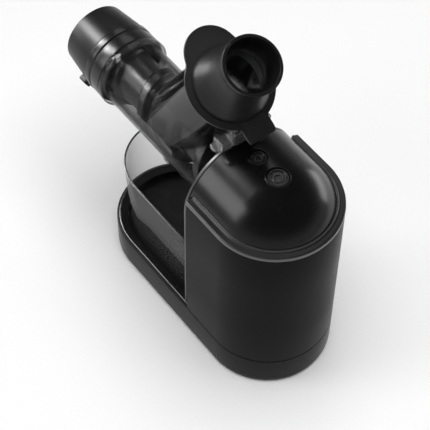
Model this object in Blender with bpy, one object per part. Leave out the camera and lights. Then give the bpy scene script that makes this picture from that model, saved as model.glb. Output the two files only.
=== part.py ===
"""Horizontal slow juicer with a clear drum, built as separate named pieces.

Frame: origin on the underside of the centre foot, +Z up, the drum points
along -Y, the motor end is at +Y, and the object is symmetric about x = 0.
All sizes are in metres.
"""
import math

import bmesh
import bpy
from mathutils import Matrix, Vector

for old in list(bpy.data.objects):
    bpy.data.objects.remove(old, do_unlink=True)

# ------------------------------------------------------------ driving sizes
BODY_R = 0.0620          # plan radius of the base and the housing
BODY_HALF = 0.0691       # from the middle to each plan end centre
GAP = 0.0003             # air between touching pieces
BASE_TOP = 0.0374        # height of the tray ledge
TRAY_DEPTH = 0.0080      # depth of the jug recess below the ledge
WALL = 0.0025            # general moulding wall
FRONT_Y = 0.0180         # front face of the housing
SLEEVE_Y = 0.0248        # front edge of the outer sleeve
SLEEVE_TOP = 0.2069      # height of the shoulder
DOME_INSET = 0.0028      # how far the domed cover stands inside the sleeve
DOME_Z = 0.1830          # height of the dome centre line
AXIS_Z = 0.1810          # height of the drum, spindle and motor axis
DRUM_R = 0.0335          # outer radius of the clear drum
DRUM_WALL = 0.0025
DRUM_LEN = 0.1500        # how far the drum reaches in front of y = 0
CAP_LEN = 0.0362         # length of the black end cap
FEED_TILT = math.radians(30.0)
FEED_R = 0.0350          # outer radius of the clear feed tube
FEED_CLEAR = 0.00487     # air between the feed tube and the crest of the dome
MOUTH_RISE = 0.09926     # from that crest up to the mouth, along the feed tube
BELL_H = 0.0539          # depth of the bell below the mouth
PLATE_T = 0.0030
AUGER_ROOM = 0.0042      # from the auger flight to the drum's inner wall
AUGER_TURNS = 4.0
MOTOR_R = 0.0300
GEAR_CENTRES = 0.0300    # spindle to layshaft distance
TEETH_SMALL = 10
TEETH_LARGE = 36
JUG_INSET = 0.0080       # how far the jug's rim stands inside the base outline
JUG_DRAFT = 0.0056       # how much the jug narrows from rim to base
JUG_RIM_Z = 0.1240
JUG_WALL = 0.0020
SPOUT_Y = -0.0700         # juice spout under the drum
SPOUT_R = 0.0145
SPOUT_Z = 0.1265
POWER_Y = 0.0720         # where the power button sits on the dome
POWER_R = 0.0102
REVERSE_Y = 0.0455
REVERSE_R = 0.0081

# ------------------------------------------------------------ derived sizes
DOME_R = BODY_R - DOME_INSET
JUG_R = BODY_R - JUG_INSET
JUG_BASE_R = JUG_R - JUG_DRAFT
JUG_CY = -(BODY_HALF - 0.0034)
PLATE_Z0 = 0.0020
PLATE_Z1 = 0.0050
TRAY_Z0 = PLATE_Z1 + GAP
TRAY_FLOOR = BASE_TOP - TRAY_DEPTH
HOUSE_Z0 = BASE_TOP + GAP
RING_H = 0.0047
RING_Z0 = SLEEVE_TOP - RING_H
COVER_Y0 = FRONT_Y + 0.0030 + GAP
DRUM_IN = DRUM_R - DRUM_WALL
AUGER_R = DRUM_IN - AUGER_ROOM
FEED_IN = FEED_R - 0.0022
MOUTH_R = FEED_R - 0.0090
BELL_R = FEED_R - 0.0005
PLATE_R = FEED_R + 0.0051
TONGUE_END = PLATE_R + 0.0126
DRUM_BACK = FRONT_Y - GAP
FEED_N = Vector((0.0, math.sin(FEED_TILT), math.cos(FEED_TILT)))
FEED_S = Vector((0.0, -math.cos(FEED_TILT), math.sin(FEED_TILT)))
CREST = Vector((0.0, FRONT_Y, DOME_Z + DOME_R))
MOUTH = CREST + FEED_S * (FEED_R + FEED_CLEAR) + FEED_N * MOUTH_RISE
FEED_LEN = (MOUTH.z - AXIS_Z) / math.cos(FEED_TILT)
COLLAR_H = BELL_H + GAP + PLATE_T + GAP
LAY_Z = AXIS_Z - GEAR_CENTRES
MODULE = 2.0 * GEAR_CENTRES / (TEETH_SMALL + TEETH_LARGE)
AXLE = Vector((0.0, 0.0, AXIS_Z))
LATCH_Z0 = DOME_Z + DOME_R + 0.0014
LATCH_Z1 = LATCH_Z0 + 0.0184
LATCH_Y1 = 0.0275
LATCH_HALF = 0.0310
DRUM_FRONT = -DRUM_LEN
COLLAR_Y0 = DRUM_FRONT - 0.0155
COLLAR_Y1 = DRUM_FRONT + 0.0130
CAP_Y1 = COLLAR_Y0 - GAP
CAP_Y0 = CAP_Y1 - CAP_LEN
Y_AXIS = Vector((0.0, 1.0, 0.0))
Z_AXIS = Vector((0.0, 0.0, 1.0))


# ------------------------------------------------------------------ helpers
def material(name, colour, rough, metal=0.0, alpha=1.0):
    """One Principled material for one piece."""
    mat = bpy.data.materials.new(name)
    mat.use_nodes = True
    shader = mat.node_tree.nodes["Principled BSDF"]
    shader.inputs["Base Color"].default_value = (*colour, 1.0)
    shader.inputs["Roughness"].default_value = rough
    shader.inputs["Metallic"].default_value = metal
    shader.inputs["Alpha"].default_value = alpha
    return mat


BLACK = ((0.020, 0.020, 0.022), 0.30)
DARK = ((0.030, 0.030, 0.032), 0.55)
STEEL = ((0.62, 0.63, 0.65), 0.28)
CLEAR = ((0.35, 0.37, 0.39), 0.08)
RUBBER = ((0.015, 0.015, 0.015), 0.80)
NYLON = ((0.78, 0.76, 0.70), 0.45)


def finish(name, bm, look, origin=(0.0, 0.0, 0.0), metal=0.0, alpha=1.0):
    """Turn a bmesh in world coordinates into an object with its origin placed."""
    bmesh.ops.recalc_face_normals(bm, faces=bm.faces[:])
    mesh = bpy.data.meshes.new(name)
    bm.to_mesh(mesh)
    bm.free()
    origin = Vector(origin)
    mesh.transform(Matrix.Translation(-origin))
    obj = bpy.data.objects.new(name, mesh)
    obj.location = origin
    bpy.context.scene.collection.objects.link(obj)
    if look is not None:
        mesh.materials.append(material(name, look[0], look[1], metal, alpha))
    return obj


def cutter(name, bm):
    """A hidden helper body used by one Boolean."""
    obj = finish(name, bm, None)
    obj.hide_render = True
    obj.display_type = "WIRE"
    return obj


def boolean(obj, helper, operation="DIFFERENCE"):
    mod = obj.modifiers.new(helper.name, "BOOLEAN")
    mod.operation = operation
    mod.solver = "EXACT"
    mod.object = helper
    return mod


def loft(bm, rings, cap=True, close=False):
    """Skin closed loops that all have the same number of points."""
    loops = [[bm.verts.new(p) for p in ring] for ring in rings]
    count = len(loops[0])
    pairs = list(zip(loops, loops[1:]))
    if close:
        pairs.append((loops[-1], loops[0]))
    for low, high in pairs:
        for i in range(count):
            j = (i + 1) % count
            bm.faces.new((low[i], low[j], high[j], high[i]))
    if cap and not close:
        bm.faces.new(loops[0][::-1])
        bm.faces.new(loops[-1])
    return bm


def frame_for(axis):
    """Two unit vectors square to an axis."""
    axis = Vector(axis).normalized()
    side = Vector((1.0, 0.0, 0.0))
    if abs(axis.x) > 0.9:
        side = Vector((0.0, 1.0, 0.0))
    u = (side - axis * side.dot(axis)).normalized()
    return u, axis.cross(u)


def circle(centre, axis, radius, count, phase=0.0):
    u, v = frame_for(axis)
    centre = Vector(centre)
    step = 2.0 * math.pi / count
    return [centre + u * radius * math.cos(phase + i * step)
            + v * radius * math.sin(phase + i * step) for i in range(count)]


def revolve(bm, origin, axis, profile, count=40, close=False):
    """Revolve (distance along axis, radius) points; closed profiles give rings."""
    origin = Vector(origin)
    axis = Vector(axis).normalized()
    rings = [circle(origin + axis * t, axis, r, count) for t, r in profile]
    return loft(bm, rings, cap=not close, close=close)


def rod(bm, start, end, radius, count=20):
    start = Vector(start)
    end = Vector(end)
    axis = (end - start).normalized()
    return loft(bm, [circle(start, axis, radius, count), circle(end, axis, radius, count)])


def box(bm, x0, x1, y0, y1, z0, z1):
    ring = [(x0, y0), (x1, y0), (x1, y1), (x0, y1)]
    return loft(bm, [[(x, y, z0) for x, y in ring], [(x, y, z1) for x, y in ring]])


def prism(bm, outline, z0, z1):
    return loft(bm, [[(x, y, z0) for x, y in outline], [(x, y, z1) for x, y in outline]])


def stadium(radius, half=BODY_HALF, count=18):
    """Plan outline with two half-round ends."""
    points = []
    for k in range(count + 1):
        a = math.pi * k / count
        points.append((radius * math.cos(a), half + radius * math.sin(a)))
    for k in range(count + 1):
        a = math.pi + math.pi * k / count
        points.append((radius * math.cos(a), -half + radius * math.sin(a)))
    return points


def u_line(radius, front, count=20):
    """Open U line: along +x, round the back, and along -x."""
    points = [(radius, front)]
    for k in range(count + 1):
        a = math.pi * k / count
        points.append((radius * math.cos(a), BODY_HALF + radius * math.sin(a)))
    points.append((-radius, front))
    return points


def u_band(outer, inner, front, count=20):
    return u_line(outer, front, count) + u_line(inner, front, count)[::-1]


def d_outline(radius, back, count=20):
    """Plan outline with a round front and a flat back."""
    points = [(-radius, back)]
    for k in range(count + 1):
        a = math.pi + math.pi * k / count
        points.append((radius * math.cos(a), JUG_CY + radius * math.sin(a)))
    points.append((radius, back))
    return points


def arch(radius, y, floor, count=20, centre_z=DOME_Z):
    """Section across the housing: straight sides under a half-round top."""
    points = [(-radius, y, floor), (radius, y, floor)]
    for k in range(count + 1):
        a = math.pi * k / count
        points.append((radius * math.cos(a), y, centre_z + radius * math.sin(a)))
    return points


def gear_outline(teeth, phase):
    """Outline of a spur wheel as (across, up) points."""
    tip = MODULE * (teeth / 2.0 + 0.85)
    root = MODULE * (teeth / 2.0 - 1.20)
    pitch = 2.0 * math.pi / teeth
    points = []
    for i in range(teeth):
        a = phase + i * pitch
        for off, r in ((-0.27, root), (-0.12, tip), (0.12, tip), (0.27, root)):
            points.append((r * math.cos(a + off * pitch), r * math.sin(a + off * pitch)))
    return points


def gear(bm, teeth, phase, z, y0, y1):
    outline = gear_outline(teeth, phase)
    return loft(bm, [[(x, y, z + h) for x, h in outline] for y in (y0, y1)])


def feed_point(h, across=0.0, ahead=0.0):
    """A point h below the mouth plane, across x, and ahead along the plate."""
    return MOUTH - FEED_N * h + Vector((across, 0.0, 0.0)) + FEED_S * ahead


# --------------------------------------------------------------------- base
FOOT_X = BODY_R - 0.0220
FOOT_Y = BODY_HALF + 0.0129
SCREW_X = BODY_R - 0.0180
SCREW_Y = BODY_HALF - 0.0191
INLET_Y = BODY_HALF + 0.0489
FOOT_SPOTS = [(0.0, 0.0)] + [(sx * FOOT_X, sy * FOOT_Y) for sx in (-1, 1) for sy in (-1, 1)]
SCREW_SPOTS = [(sx * SCREW_X, sy * SCREW_Y) for sx in (-1, 1) for sy in (-1, 1)]

# Bottom plate that closes the base, with screw holes and air slots.
bm = bmesh.new()
plate = stadium(BODY_R - 0.0008)
loft(bm, [[(x, y, z) for x, y in plate] for z in (PLATE_Z0, PLATE_Z1)])
base_plate = finish("base_plate", bm, DARK)
bm = bmesh.new()
for x, y in SCREW_SPOTS:
    revolve(bm, (x, y, 0.0), Z_AXIS, [(0.001, 0.0036), (0.0034, 0.0036), (0.0034, 0.0019),
                                      (0.006, 0.0019)], 12)
boolean(base_plate, cutter("cut_plate_screws", bm))
bm = bmesh.new()
for k in range(6):
    y = SCREW_Y + 0.010 * k
    box(bm, -0.020, 0.020, y, y + 0.004, 0.001, 0.006)
boolean(base_plate, cutter("cut_plate_slots", bm))
bm = bmesh.new()
rod(bm, (0.0, INLET_Y, 0.001), (0.0, INLET_Y, 0.006), 0.0056, 16)
boolean(base_plate, cutter("cut_plate_inlet", bm))

# Five rubber feet, one of them in the middle.
for index, (x, y) in enumerate(FOOT_SPOTS):
    bm = bmesh.new()
    revolve(bm, (x, y, 0.0), Z_AXIS, [(0.0, 0.0072), (0.0006, 0.0080),
                                      (PLATE_Z0 - GAP, 0.0080)], 16)
    finish("rubber_foot_" + str(index + 1), bm, RUBBER, (x, y, 0.0))

# Grommet where the cable enters from below.
bm = bmesh.new()
revolve(bm, (0.0, INLET_Y, 0.0), Z_AXIS, [(0.0008, 0.0030), (0.0008, 0.0074), (0.0017, 0.0074),
                                          (0.0017, 0.0053), (0.0072, 0.0053), (0.0072, 0.0030)],
        16, close=True)
finish("cable_grommet", bm, RUBBER, (0.0, INLET_Y, 0.0))

# Base tray: the visible foot of the machine, with the jug recess in front.
bm = bmesh.new()
steps = [(0.0, TRAY_Z0), (0.0, BASE_TOP - 0.0030), (0.0009, BASE_TOP - 0.0009), (0.0030, BASE_TOP)]
loft(bm, [[(x, y, z) for x, y in stadium(BODY_R - off)] for off, z in steps])
base_tray = finish("base_tray", bm, BLACK)
bm = bmesh.new()
prism(bm, stadium(BODY_R - WALL), TRAY_Z0 - 0.001, TRAY_FLOOR - WALL)
boolean(base_tray, cutter("cut_tray_inside", bm))
bm = bmesh.new()
prism(bm, u_line(BODY_R - 0.0050, 0.0330), TRAY_FLOOR - WALL - 0.001, BASE_TOP - WALL)
boolean(base_tray, cutter("cut_tray_rear", bm))
bm = bmesh.new()
recess = d_outline(JUG_BASE_R + 0.0045, FRONT_Y - 0.0012)
prism(bm, recess, TRAY_FLOOR, BASE_TOP + 0.002)
boolean(base_tray, cutter("cut_tray_recess", bm))
bm = bmesh.new()
box(bm, -0.016, 0.016, 0.048, 0.070, BASE_TOP - 0.006, BASE_TOP + 0.002)
boolean(base_tray, cutter("cut_tray_wire_way", bm))
bm = bmesh.new()
for x, y in SCREW_SPOTS:
    top = TRAY_FLOOR - 0.001 if y < 0.0 else BASE_TOP - 0.001
    revolve(bm, (x, y, 0.0), Z_AXIS, [(TRAY_Z0, 0.0018), (TRAY_Z0, 0.0044), (top, 0.0044),
                                      (top, 0.0034), (0.0200, 0.0034), (0.0200, 0.0018)],
            12, close=True)
boolean(base_tray, cutter("add_tray_bosses", bm), "UNION")

# Screws that hold the plate to the tray.
for index, (x, y) in enumerate(SCREW_SPOTS):
    bm = bmesh.new()
    revolve(bm, (x, y, 0.0), Z_AXIS, [(PLATE_Z0 + 0.0001, 0.0032), (0.0031, 0.0032),
                                      (0.0031, 0.0015), (0.0160, 0.0015)], 12)
    finish("base_screw_" + str(index + 1), bm, STEEL, (x, y, PLATE_Z0), metal=1.0)

# ------------------------------------------------------------------ housing
# Outer sleeve: a U of wall round the back and both sides.
bm = bmesh.new()
prism(bm, u_band(BODY_R, BODY_R - WALL, SLEEVE_Y), HOUSE_Z0, RING_Z0 - GAP)
finish("housing_sleeve", bm, BLACK)

# Shoulder ring: the flat ledge on the sleeve, its outer edge rounded.
bm = bmesh.new()


def dome_width(z):
    return math.sqrt(DOME_R ** 2 - (z - DOME_Z) ** 2)


rings = []
for off, z in ((0.0, RING_Z0), (0.0, SLEEVE_TOP - 0.0022), (0.0007, SLEEVE_TOP - 0.0006),
               (0.0022, SLEEVE_TOP)):
    outer = u_line(BODY_R - off, SLEEVE_Y)
    inner = u_line(dome_width(z) + GAP, SLEEVE_Y)[::-1]
    rings.append([(x, y, z) for x, y in outer + inner])
loft(bm, rings)
finish("shoulder_ring", bm, BLACK)

# Domed inner cover, open towards the front and below.
bm = bmesh.new()
stations = [COVER_Y0, BODY_HALF]
stations += [BODY_HALF + DOME_R * math.sin(math.radians(a)) for a in (14, 28, 42, 55, 67, 77, 86)]
rings = []
for y in stations:
    r = DOME_R if y <= BODY_HALF else math.sqrt(DOME_R ** 2 - (y - BODY_HALF) ** 2)
    rings.append(arch(r, y, HOUSE_Z0))
loft(bm, rings)
dome_cover = finish("dome_cover", bm, BLACK)
bm = bmesh.new()
inner_r = DOME_R - WALL
stations = [COVER_Y0 - 0.002, BODY_HALF]
stations += [BODY_HALF + inner_r * math.sin(math.radians(a)) for a in (14, 28, 42, 55, 67, 77, 86)]
rings = []
for y in stations:
    r = inner_r if y <= BODY_HALF else math.sqrt(inner_r ** 2 - (y - BODY_HALF) ** 2)
    rings.append(arch(r, y, HOUSE_Z0 - 0.002))
loft(bm, rings)
boolean(dome_cover, cutter("cut_dome_inside", bm))
WELL_Z0 = DOME_Z + DOME_R - 0.0192
WELL_Z1 = DOME_Z + DOME_R + 0.0108
bm = bmesh.new()
rod(bm, (0, POWER_Y, WELL_Z0), (0, POWER_Y, WELL_Z1), POWER_R, 28)
boolean(dome_cover, cutter("cut_power_well", bm))
bm = bmesh.new()
rod(bm, (0, REVERSE_Y, WELL_Z0), (0, REVERSE_Y, WELL_Z1), REVERSE_R, 24)
boolean(dome_cover, cutter("cut_reverse_well", bm))

# Front bulkhead: arch plate with the spindle hole and the drum socket ring.
RING_IN = DRUM_R + 0.0077
RING_OUT = DRUM_R + 0.0105
bm = bmesh.new()
loft(bm, [arch(DOME_R - 0.0012, FRONT_Y, HOUSE_Z0, 24), arch(DOME_R, FRONT_Y + 0.0010, HOUSE_Z0, 24),
          arch(DOME_R, COVER_Y0 - GAP, HOUSE_Z0, 24)])
front_bulkhead = finish("front_bulkhead", bm, BLACK)
bm = bmesh.new()
rod(bm, AXLE + Y_AXIS * (FRONT_Y - 0.002), AXLE + Y_AXIS * (COVER_Y0 + 0.002), 0.0105, 24)
boolean(front_bulkhead, cutter("cut_spindle_hole", bm))
bm = bmesh.new()
revolve(bm, AXLE, Y_AXIS, [(FRONT_Y - 0.0050, RING_IN), (FRONT_Y - 0.0050, RING_OUT),
                           (FRONT_Y + 0.0010, RING_OUT), (FRONT_Y + 0.0010, RING_IN)], 40, close=True)
boolean(front_bulkhead, cutter("add_socket_ring", bm), "UNION")

# ------------------------------------------------------- buttons and switches
for name, y, well in (("power", POWER_Y, POWER_R), ("reverse", REVERSE_Y, REVERSE_R)):
    top = DOME_Z + DOME_R - 0.0012
    flange = DOME_Z + math.sqrt((DOME_R - WALL) ** 2 - (well + 0.0020) ** 2) - 3.0 * GAP
    bm = bmesh.new()
    r = well - 0.0006
    revolve(bm, (0, y, 0), Z_AXIS, [(top - 0.0090, 0.0030), (flange - 0.0014, 0.0034),
                                    (flange - 0.0014, well + 0.0012), (flange, well + 0.0012),
                                    (flange, r), (top - 0.0005, r), (top, r - 0.0006),
                                    (top, r - 0.0020), (top - 0.0008, r - 0.0024),
                                    (top - 0.0008, r * 0.52), (top - 0.0002, r * 0.48),
                                    (top - 0.0002, r * 0.36), (top - 0.0010, r * 0.32)], 20)
    finish(name + "_button", bm, BLACK, (0.0, y, top))

# Two coil springs under the buttons.
SPRING_Z0 = DOME_Z + DOME_R - 0.0154
BOARD_Z0 = SPRING_Z0 - 0.0100
BOARD_Z1 = SPRING_Z0 - 0.0083
PART_Z0 = BOARD_Z1 + GAP
for name, y in (("power", POWER_Y), ("reverse", REVERSE_Y)):
    bm = bmesh.new()
    rings = []
    count = 30
    for k in range(count + 1):
        a = 2.0 * math.pi * 2.5 * k / count
        z = SPRING_Z0 + 0.0006 + 0.0072 * k / count
        centre = Vector((0.0046 * math.cos(a), y + 0.0046 * math.sin(a), z))
        rings.append(circle(centre, (-math.sin(a), math.cos(a), 0.05), 0.00035, 5))
    loft(bm, rings)
    finish(name + "_spring", bm, STEEL, (0.0, y, SPRING_Z0), metal=1.0)

# Switch bodies on the control board.
for name, y in (("power", POWER_Y), ("reverse", REVERSE_Y)):
    bm = bmesh.new()
    box(bm, -0.0065, 0.0065, y - 0.0065, y + 0.0065, PART_Z0, SPRING_Z0 - GAP)
    finish(name + "_switch", bm, DARK, (0.0, y, PART_Z0))

# Control board with its capacitor and driver block.
bm = bmesh.new()
box(bm, -0.022, 0.022, 0.034, 0.092, BOARD_Z0, BOARD_Z1)
control_board = finish("control_board", bm, ((0.02, 0.16, 0.07), 0.5))
bm = bmesh.new()
rod(bm, (-0.015, 0.086, PART_Z0), (-0.015, 0.086, PART_Z0 + 0.0112), 0.0045, 14)
finish("board_capacitor", bm, ((0.02, 0.03, 0.10), 0.35), (-0.015, 0.086, PART_Z0))
bm = bmesh.new()
box(bm, 0.008, 0.018, 0.080, 0.090, PART_Z0, PART_Z0 + 0.0072)
finish("board_relay", bm, DARK, (0.013, 0.085, PART_Z0))

# ---------------------------------------------------------- motor and gears
MOTOR_Y0 = 0.0503
MOTOR_Y1 = 0.0920
bm = bmesh.new()
revolve(bm, AXLE, Y_AXIS, [(MOTOR_Y0, 0.0062), (MOTOR_Y0, MOTOR_R), (MOTOR_Y1, MOTOR_R),
                           (MOTOR_Y1, MOTOR_R - 0.0060), (MOTOR_Y0 + 0.0030, MOTOR_R - 0.0060),
                           (MOTOR_Y0 + 0.0030, 0.0062)], 32, close=True)
finish("motor_can", bm, STEEL, AXLE, metal=1.0)

# Rear bell of the motor with air windows.
bm = bmesh.new()
revolve(bm, AXLE, Y_AXIS, [(MOTOR_Y1 + GAP, MOTOR_R - 0.0030), (MOTOR_Y1 + GAP, MOTOR_R),
                           (0.1080, MOTOR_R - 0.0020), (0.1100, MOTOR_R - 0.0040),
                           (0.1100, 0.0036), (0.1076, 0.0036), (0.1076, MOTOR_R - 0.0050)],
        24, close=True)
motor_bell = finish("motor_bell", bm, DARK, AXLE)
bm = bmesh.new()
for k in range(6):
    a = 2.0 * math.pi * k / 6.0
    c = AXLE + Vector((0.0165 * math.cos(a), 0.0, 0.0165 * math.sin(a)))
    rod(bm, c + Y_AXIS * 0.104, c + Y_AXIS * 0.114, 0.0052, 10)
boolean(motor_bell, cutter("cut_bell_windows", bm))

# Rotor: shaft, armature, fan and the first pinion turn together.
bm = bmesh.new()
revolve(bm, AXLE, Y_AXIS, [(0.0345, 0.0030), (0.0560, 0.0030), (0.0560, 0.0205), (0.0860, 0.0205),
                           (0.0860, 0.0080), (0.0950, 0.0080), (0.0950, 0.0225), (0.0965, 0.0225),
                           (0.0965, 0.0030), (0.1110, 0.0030)], 24)
motor_rotor = finish("motor_rotor", bm, STEEL, AXLE, metal=1.0)
bm = bmesh.new()
gear(bm, TEETH_SMALL, -math.pi / 2.0, AXIS_Z, 0.0378, 0.0455)
boolean(motor_rotor, cutter("add_first_pinion", bm), "UNION")
bm = bmesh.new()
for k in range(8):
    a = 2.0 * math.pi * k / 8.0
    ring = []
    for rr, ww in ((0.0070, -0.0008), (0.0220, -0.0008), (0.0220, 0.0008), (0.0070, 0.0008)):
        ring.append((rr * math.cos(a) - ww * math.sin(a), rr * math.sin(a) + ww * math.cos(a)))
    loft(bm, [[(x, y, AXIS_Z + h) for x, h in ring] for y in (0.0960, 0.1040)])
boolean(motor_rotor, cutter("add_fan_blades", bm), "UNION")

# Layshaft with its large wheel and small pinion.
bm = bmesh.new()
lay = Vector((0.0, 0.0, LAY_Z))
rod(bm, lay + Y_AXIS * 0.0256, lay + Y_AXIS * 0.0466, 0.0028, 16)
layshaft = finish("layshaft_gear", bm, STEEL, lay, metal=1.0)
bm = bmesh.new()
gear(bm, TEETH_LARGE, math.pi / 2.0 + math.pi / TEETH_LARGE, LAY_Z, 0.0382, 0.0450)
boolean(layshaft, cutter("add_first_wheel", bm), "UNION")
bm = bmesh.new()
gear(bm, TEETH_SMALL, math.pi / 2.0, LAY_Z, 0.0272, 0.0376)
boolean(layshaft, cutter("add_second_pinion", bm), "UNION")

# Output wheel with the spindle and its hexagonal nose.
bm = bmesh.new()
u, v = frame_for(Y_AXIS)
rod(bm, AXLE + Y_AXIS * 0.0172, AXLE + Y_AXIS * 0.0300, 0.0070, 20)
output_spindle = finish("output_spindle", bm, STEEL, AXLE, metal=1.0)
bm = bmesh.new()
loft(bm, [circle(AXLE + Y_AXIS * y, Y_AXIS, 0.0066, 6) for y in (-0.0080, 0.0180)])
boolean(output_spindle, cutter("add_hex_nose", bm), "UNION")
bm = bmesh.new()
gear(bm, TEETH_LARGE, -math.pi / 2.0 + math.pi / TEETH_LARGE, AXIS_Z, 0.0276, 0.0340)
boolean(output_spindle, cutter("add_output_wheel", bm), "UNION")

# Bush that carries the spindle in the gearbox cover.
bm = bmesh.new()
revolve(bm, AXLE, Y_AXIS, [(0.0176, 0.0070 + GAP), (0.0176, 0.0098), (0.0246, 0.0098),
                           (0.0246, 0.0070 + GAP)], 20, close=True)
finish("spindle_bush", bm, ((0.55, 0.38, 0.16), 0.35), AXLE, metal=1.0)


def case_outline(radius, count=16):
    """Upright rounded outline round both gear axes, as (across, up) points."""
    points = []
    for k in range(count + 1):
        a = math.pi * k / count
        points.append((radius * math.cos(a), AXIS_Z + radius * math.sin(a)))
    for k in range(count + 1):
        a = math.pi + math.pi * k / count
        points.append((radius * math.cos(a), LAY_Z + radius * math.sin(a)))
    return points


# Gearbox cover towards the bulkhead.
bm = bmesh.new()
loft(bm, [[(x, y, z) for x, z in case_outline(0.0300)] for y in (0.0220, 0.0250)])
gearbox_cover = finish("gearbox_cover", bm, DARK)
bm = bmesh.new()
rod(bm, AXLE + Y_AXIS * 0.0210, AXLE + Y_AXIS * 0.0260, 0.0098 + GAP, 20)
boolean(gearbox_cover, cutter("cut_cover_bore", bm))

# Gearbox case: a cup round the gears, bored for the rotor shaft.
bm = bmesh.new()
loft(bm, [[(x, 0.0253, z) for x, z in case_outline(0.0300)],
          [(x, 0.0500, z) for x, z in case_outline(0.0300)],
          ])
gearbox_case = finish("gearbox_case", bm, DARK)
bm = bmesh.new()
loft(bm, [[(x, y, z) for x, z in case_outline(0.0272)] for y in (0.0240, 0.0472)])
boolean(gearbox_case, cutter("cut_case_inside", bm))
bm = bmesh.new()
rod(bm, AXLE + Y_AXIS * 0.0460, AXLE + Y_AXIS * 0.0510, 0.0036, 16)
boolean(gearbox_case, cutter("cut_case_bore", bm))

# Cradle that carries the motor on the tray deck.
bm = bmesh.new()
box(bm, -0.036, 0.036, 0.0740, 0.0790, HOUSE_Z0, 0.1780)
box(bm, -0.036, 0.036, 0.0700, 0.0735, HOUSE_Z0, HOUSE_Z0 + 0.0030)
motor_cradle = finish("motor_cradle", bm, DARK)
bm = bmesh.new()
box(bm, -0.036, 0.036, 0.0710, 0.0760, HOUSE_Z0, HOUSE_Z0 + 0.0030)
boolean(motor_cradle, cutter("add_cradle_foot", bm), "UNION")
bm = bmesh.new()
rod(bm, AXLE + Y_AXIS * 0.0700, AXLE + Y_AXIS * 0.0820, MOTOR_R + GAP, 32)
boolean(motor_cradle, cutter("cut_cradle_seat", bm))
bm = bmesh.new()
box(bm, -0.022, 0.022, 0.0720, 0.0810, 0.0550, 0.1350)
boolean(motor_cradle, cutter("cut_cradle_window", bm))

# ----------------------------------------------------------------- the drum
# Clear drum: a round tube with the tilted feed tube rising from it.
bm = bmesh.new()
revolve(bm, AXLE, Y_AXIS, [(DRUM_FRONT, DRUM_R), (DRUM_BACK - 0.0080, DRUM_R),
                           (DRUM_BACK - 0.0070, DRUM_R + 0.0026), (DRUM_BACK, DRUM_R + 0.0026)], 40)
drum_body = finish("drum_body", bm, CLEAR, AXLE, alpha=0.35)
bm = bmesh.new()
revolve(bm, MOUTH, -FEED_N, [(COLLAR_H, FEED_R + 0.0022), (COLLAR_H + 0.0035, FEED_R + 0.0022),
                             (COLLAR_H + 0.0045, FEED_R), (FEED_LEN - 0.0060, FEED_R)], 40)
boolean(drum_body, cutter("add_feed_tube", bm), "UNION")
bm = bmesh.new()
rod(bm, (0.0, SPOUT_Y, AXIS_Z - DRUM_R + 0.0065), (0.0, SPOUT_Y, SPOUT_Z), SPOUT_R, 24)
boolean(drum_body, cutter("add_spout", bm), "UNION")
bm = bmesh.new()
box(bm, -0.0124, 0.0124, -0.0020, LATCH_Y1, LATCH_Z0, LATCH_Z1)
boolean(drum_body, cutter("add_latch_rib", bm), "UNION")
bm = bmesh.new()
box(bm, -LATCH_HALF, LATCH_HALF, LATCH_Y1 - 0.0110, LATCH_Y1 - 0.0020, LATCH_Z0 + 0.0054,
    LATCH_Z0 + 0.0114)
boolean(drum_body, cutter("add_latch_bar", bm), "UNION")
bm = bmesh.new()
revolve(bm, AXLE, Y_AXIS, [(DRUM_FRONT - 0.002, DRUM_IN), (DRUM_BACK - 0.0030, DRUM_IN),
                           (DRUM_BACK - 0.0030, 0.0200), (DRUM_BACK + 0.002, 0.0200)], 40)
boolean(drum_body, cutter("cut_drum_bore", bm))
bm = bmesh.new()
rod(bm, feed_point(COLLAR_H - 0.002), feed_point(FEED_LEN - 0.0080), FEED_IN, 40)
boolean(drum_body, cutter("cut_feed_bore", bm))
bm = bmesh.new()
rod(bm, (0.0, SPOUT_Y, AXIS_Z - DRUM_R + 0.0085), (0.0, SPOUT_Y, SPOUT_Z - 0.0020), SPOUT_R - 0.0020, 24)
boolean(drum_body, cutter("cut_spout_bore", bm))

# Rubber seal in the rear wall of the drum.
bm = bmesh.new()
revolve(bm, AXLE, Y_AXIS, [(DRUM_BACK - 0.0032, 0.0158), (DRUM_BACK - 0.0032, 0.0197),
                           (DRUM_BACK - 0.0003, 0.0197), (DRUM_BACK - 0.0003, 0.0158)],
        32, close=True)
finish("drum_seal", bm, RUBBER, AXLE)

# Steel strainer: a slotted half-round screen under the auger.
SCREEN_Y0 = -0.0960
SCREEN_Y1 = -0.0400
SCREEN_OUT = AUGER_R + 0.0022
SCREEN_IN = AUGER_R + 0.0010
bm = bmesh.new()
around = 25
edges = [0.0]
for k in range(7):
    edges += [0.06 + 0.13 * k, 0.13 + 0.13 * k]
edges += [1.0]
skins = []
for radius in (SCREEN_OUT, SCREEN_IN):
    skin = []
    for e in edges:
        y = SCREEN_Y0 + (SCREEN_Y1 - SCREEN_Y0) * e
        line = []
        for i in range(around + 1):
            a = math.radians(172.0 + 196.0 * i / around)
            line.append(bm.verts.new((radius * math.cos(a), y, AXIS_Z + radius * math.sin(a))))
        skin.append(line)
    skins.append(skin)
outer, inner = skins
last = len(edges) - 1
for j in range(last):
    for i in range(around):
        ring_o = (outer[j][i], outer[j][i + 1], outer[j + 1][i + 1], outer[j + 1][i])
        ring_i = (inner[j][i], inner[j][i + 1], inner[j + 1][i + 1], inner[j + 1][i])
        if j % 2 == 1 and i % 2 == 1:
            for k in range(4):
                m = (k + 1) % 4
                bm.faces.new((ring_o[k], ring_o[m], ring_i[m], ring_i[k]))
        else:
            bm.faces.new(ring_o)
            bm.faces.new(ring_i[::-1])
for i in range(around):
    bm.faces.new((outer[0][i], outer[0][i + 1], inner[0][i + 1], inner[0][i]))
    bm.faces.new((outer[last][i], outer[last][i + 1], inner[last][i + 1], inner[last][i]))
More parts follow.
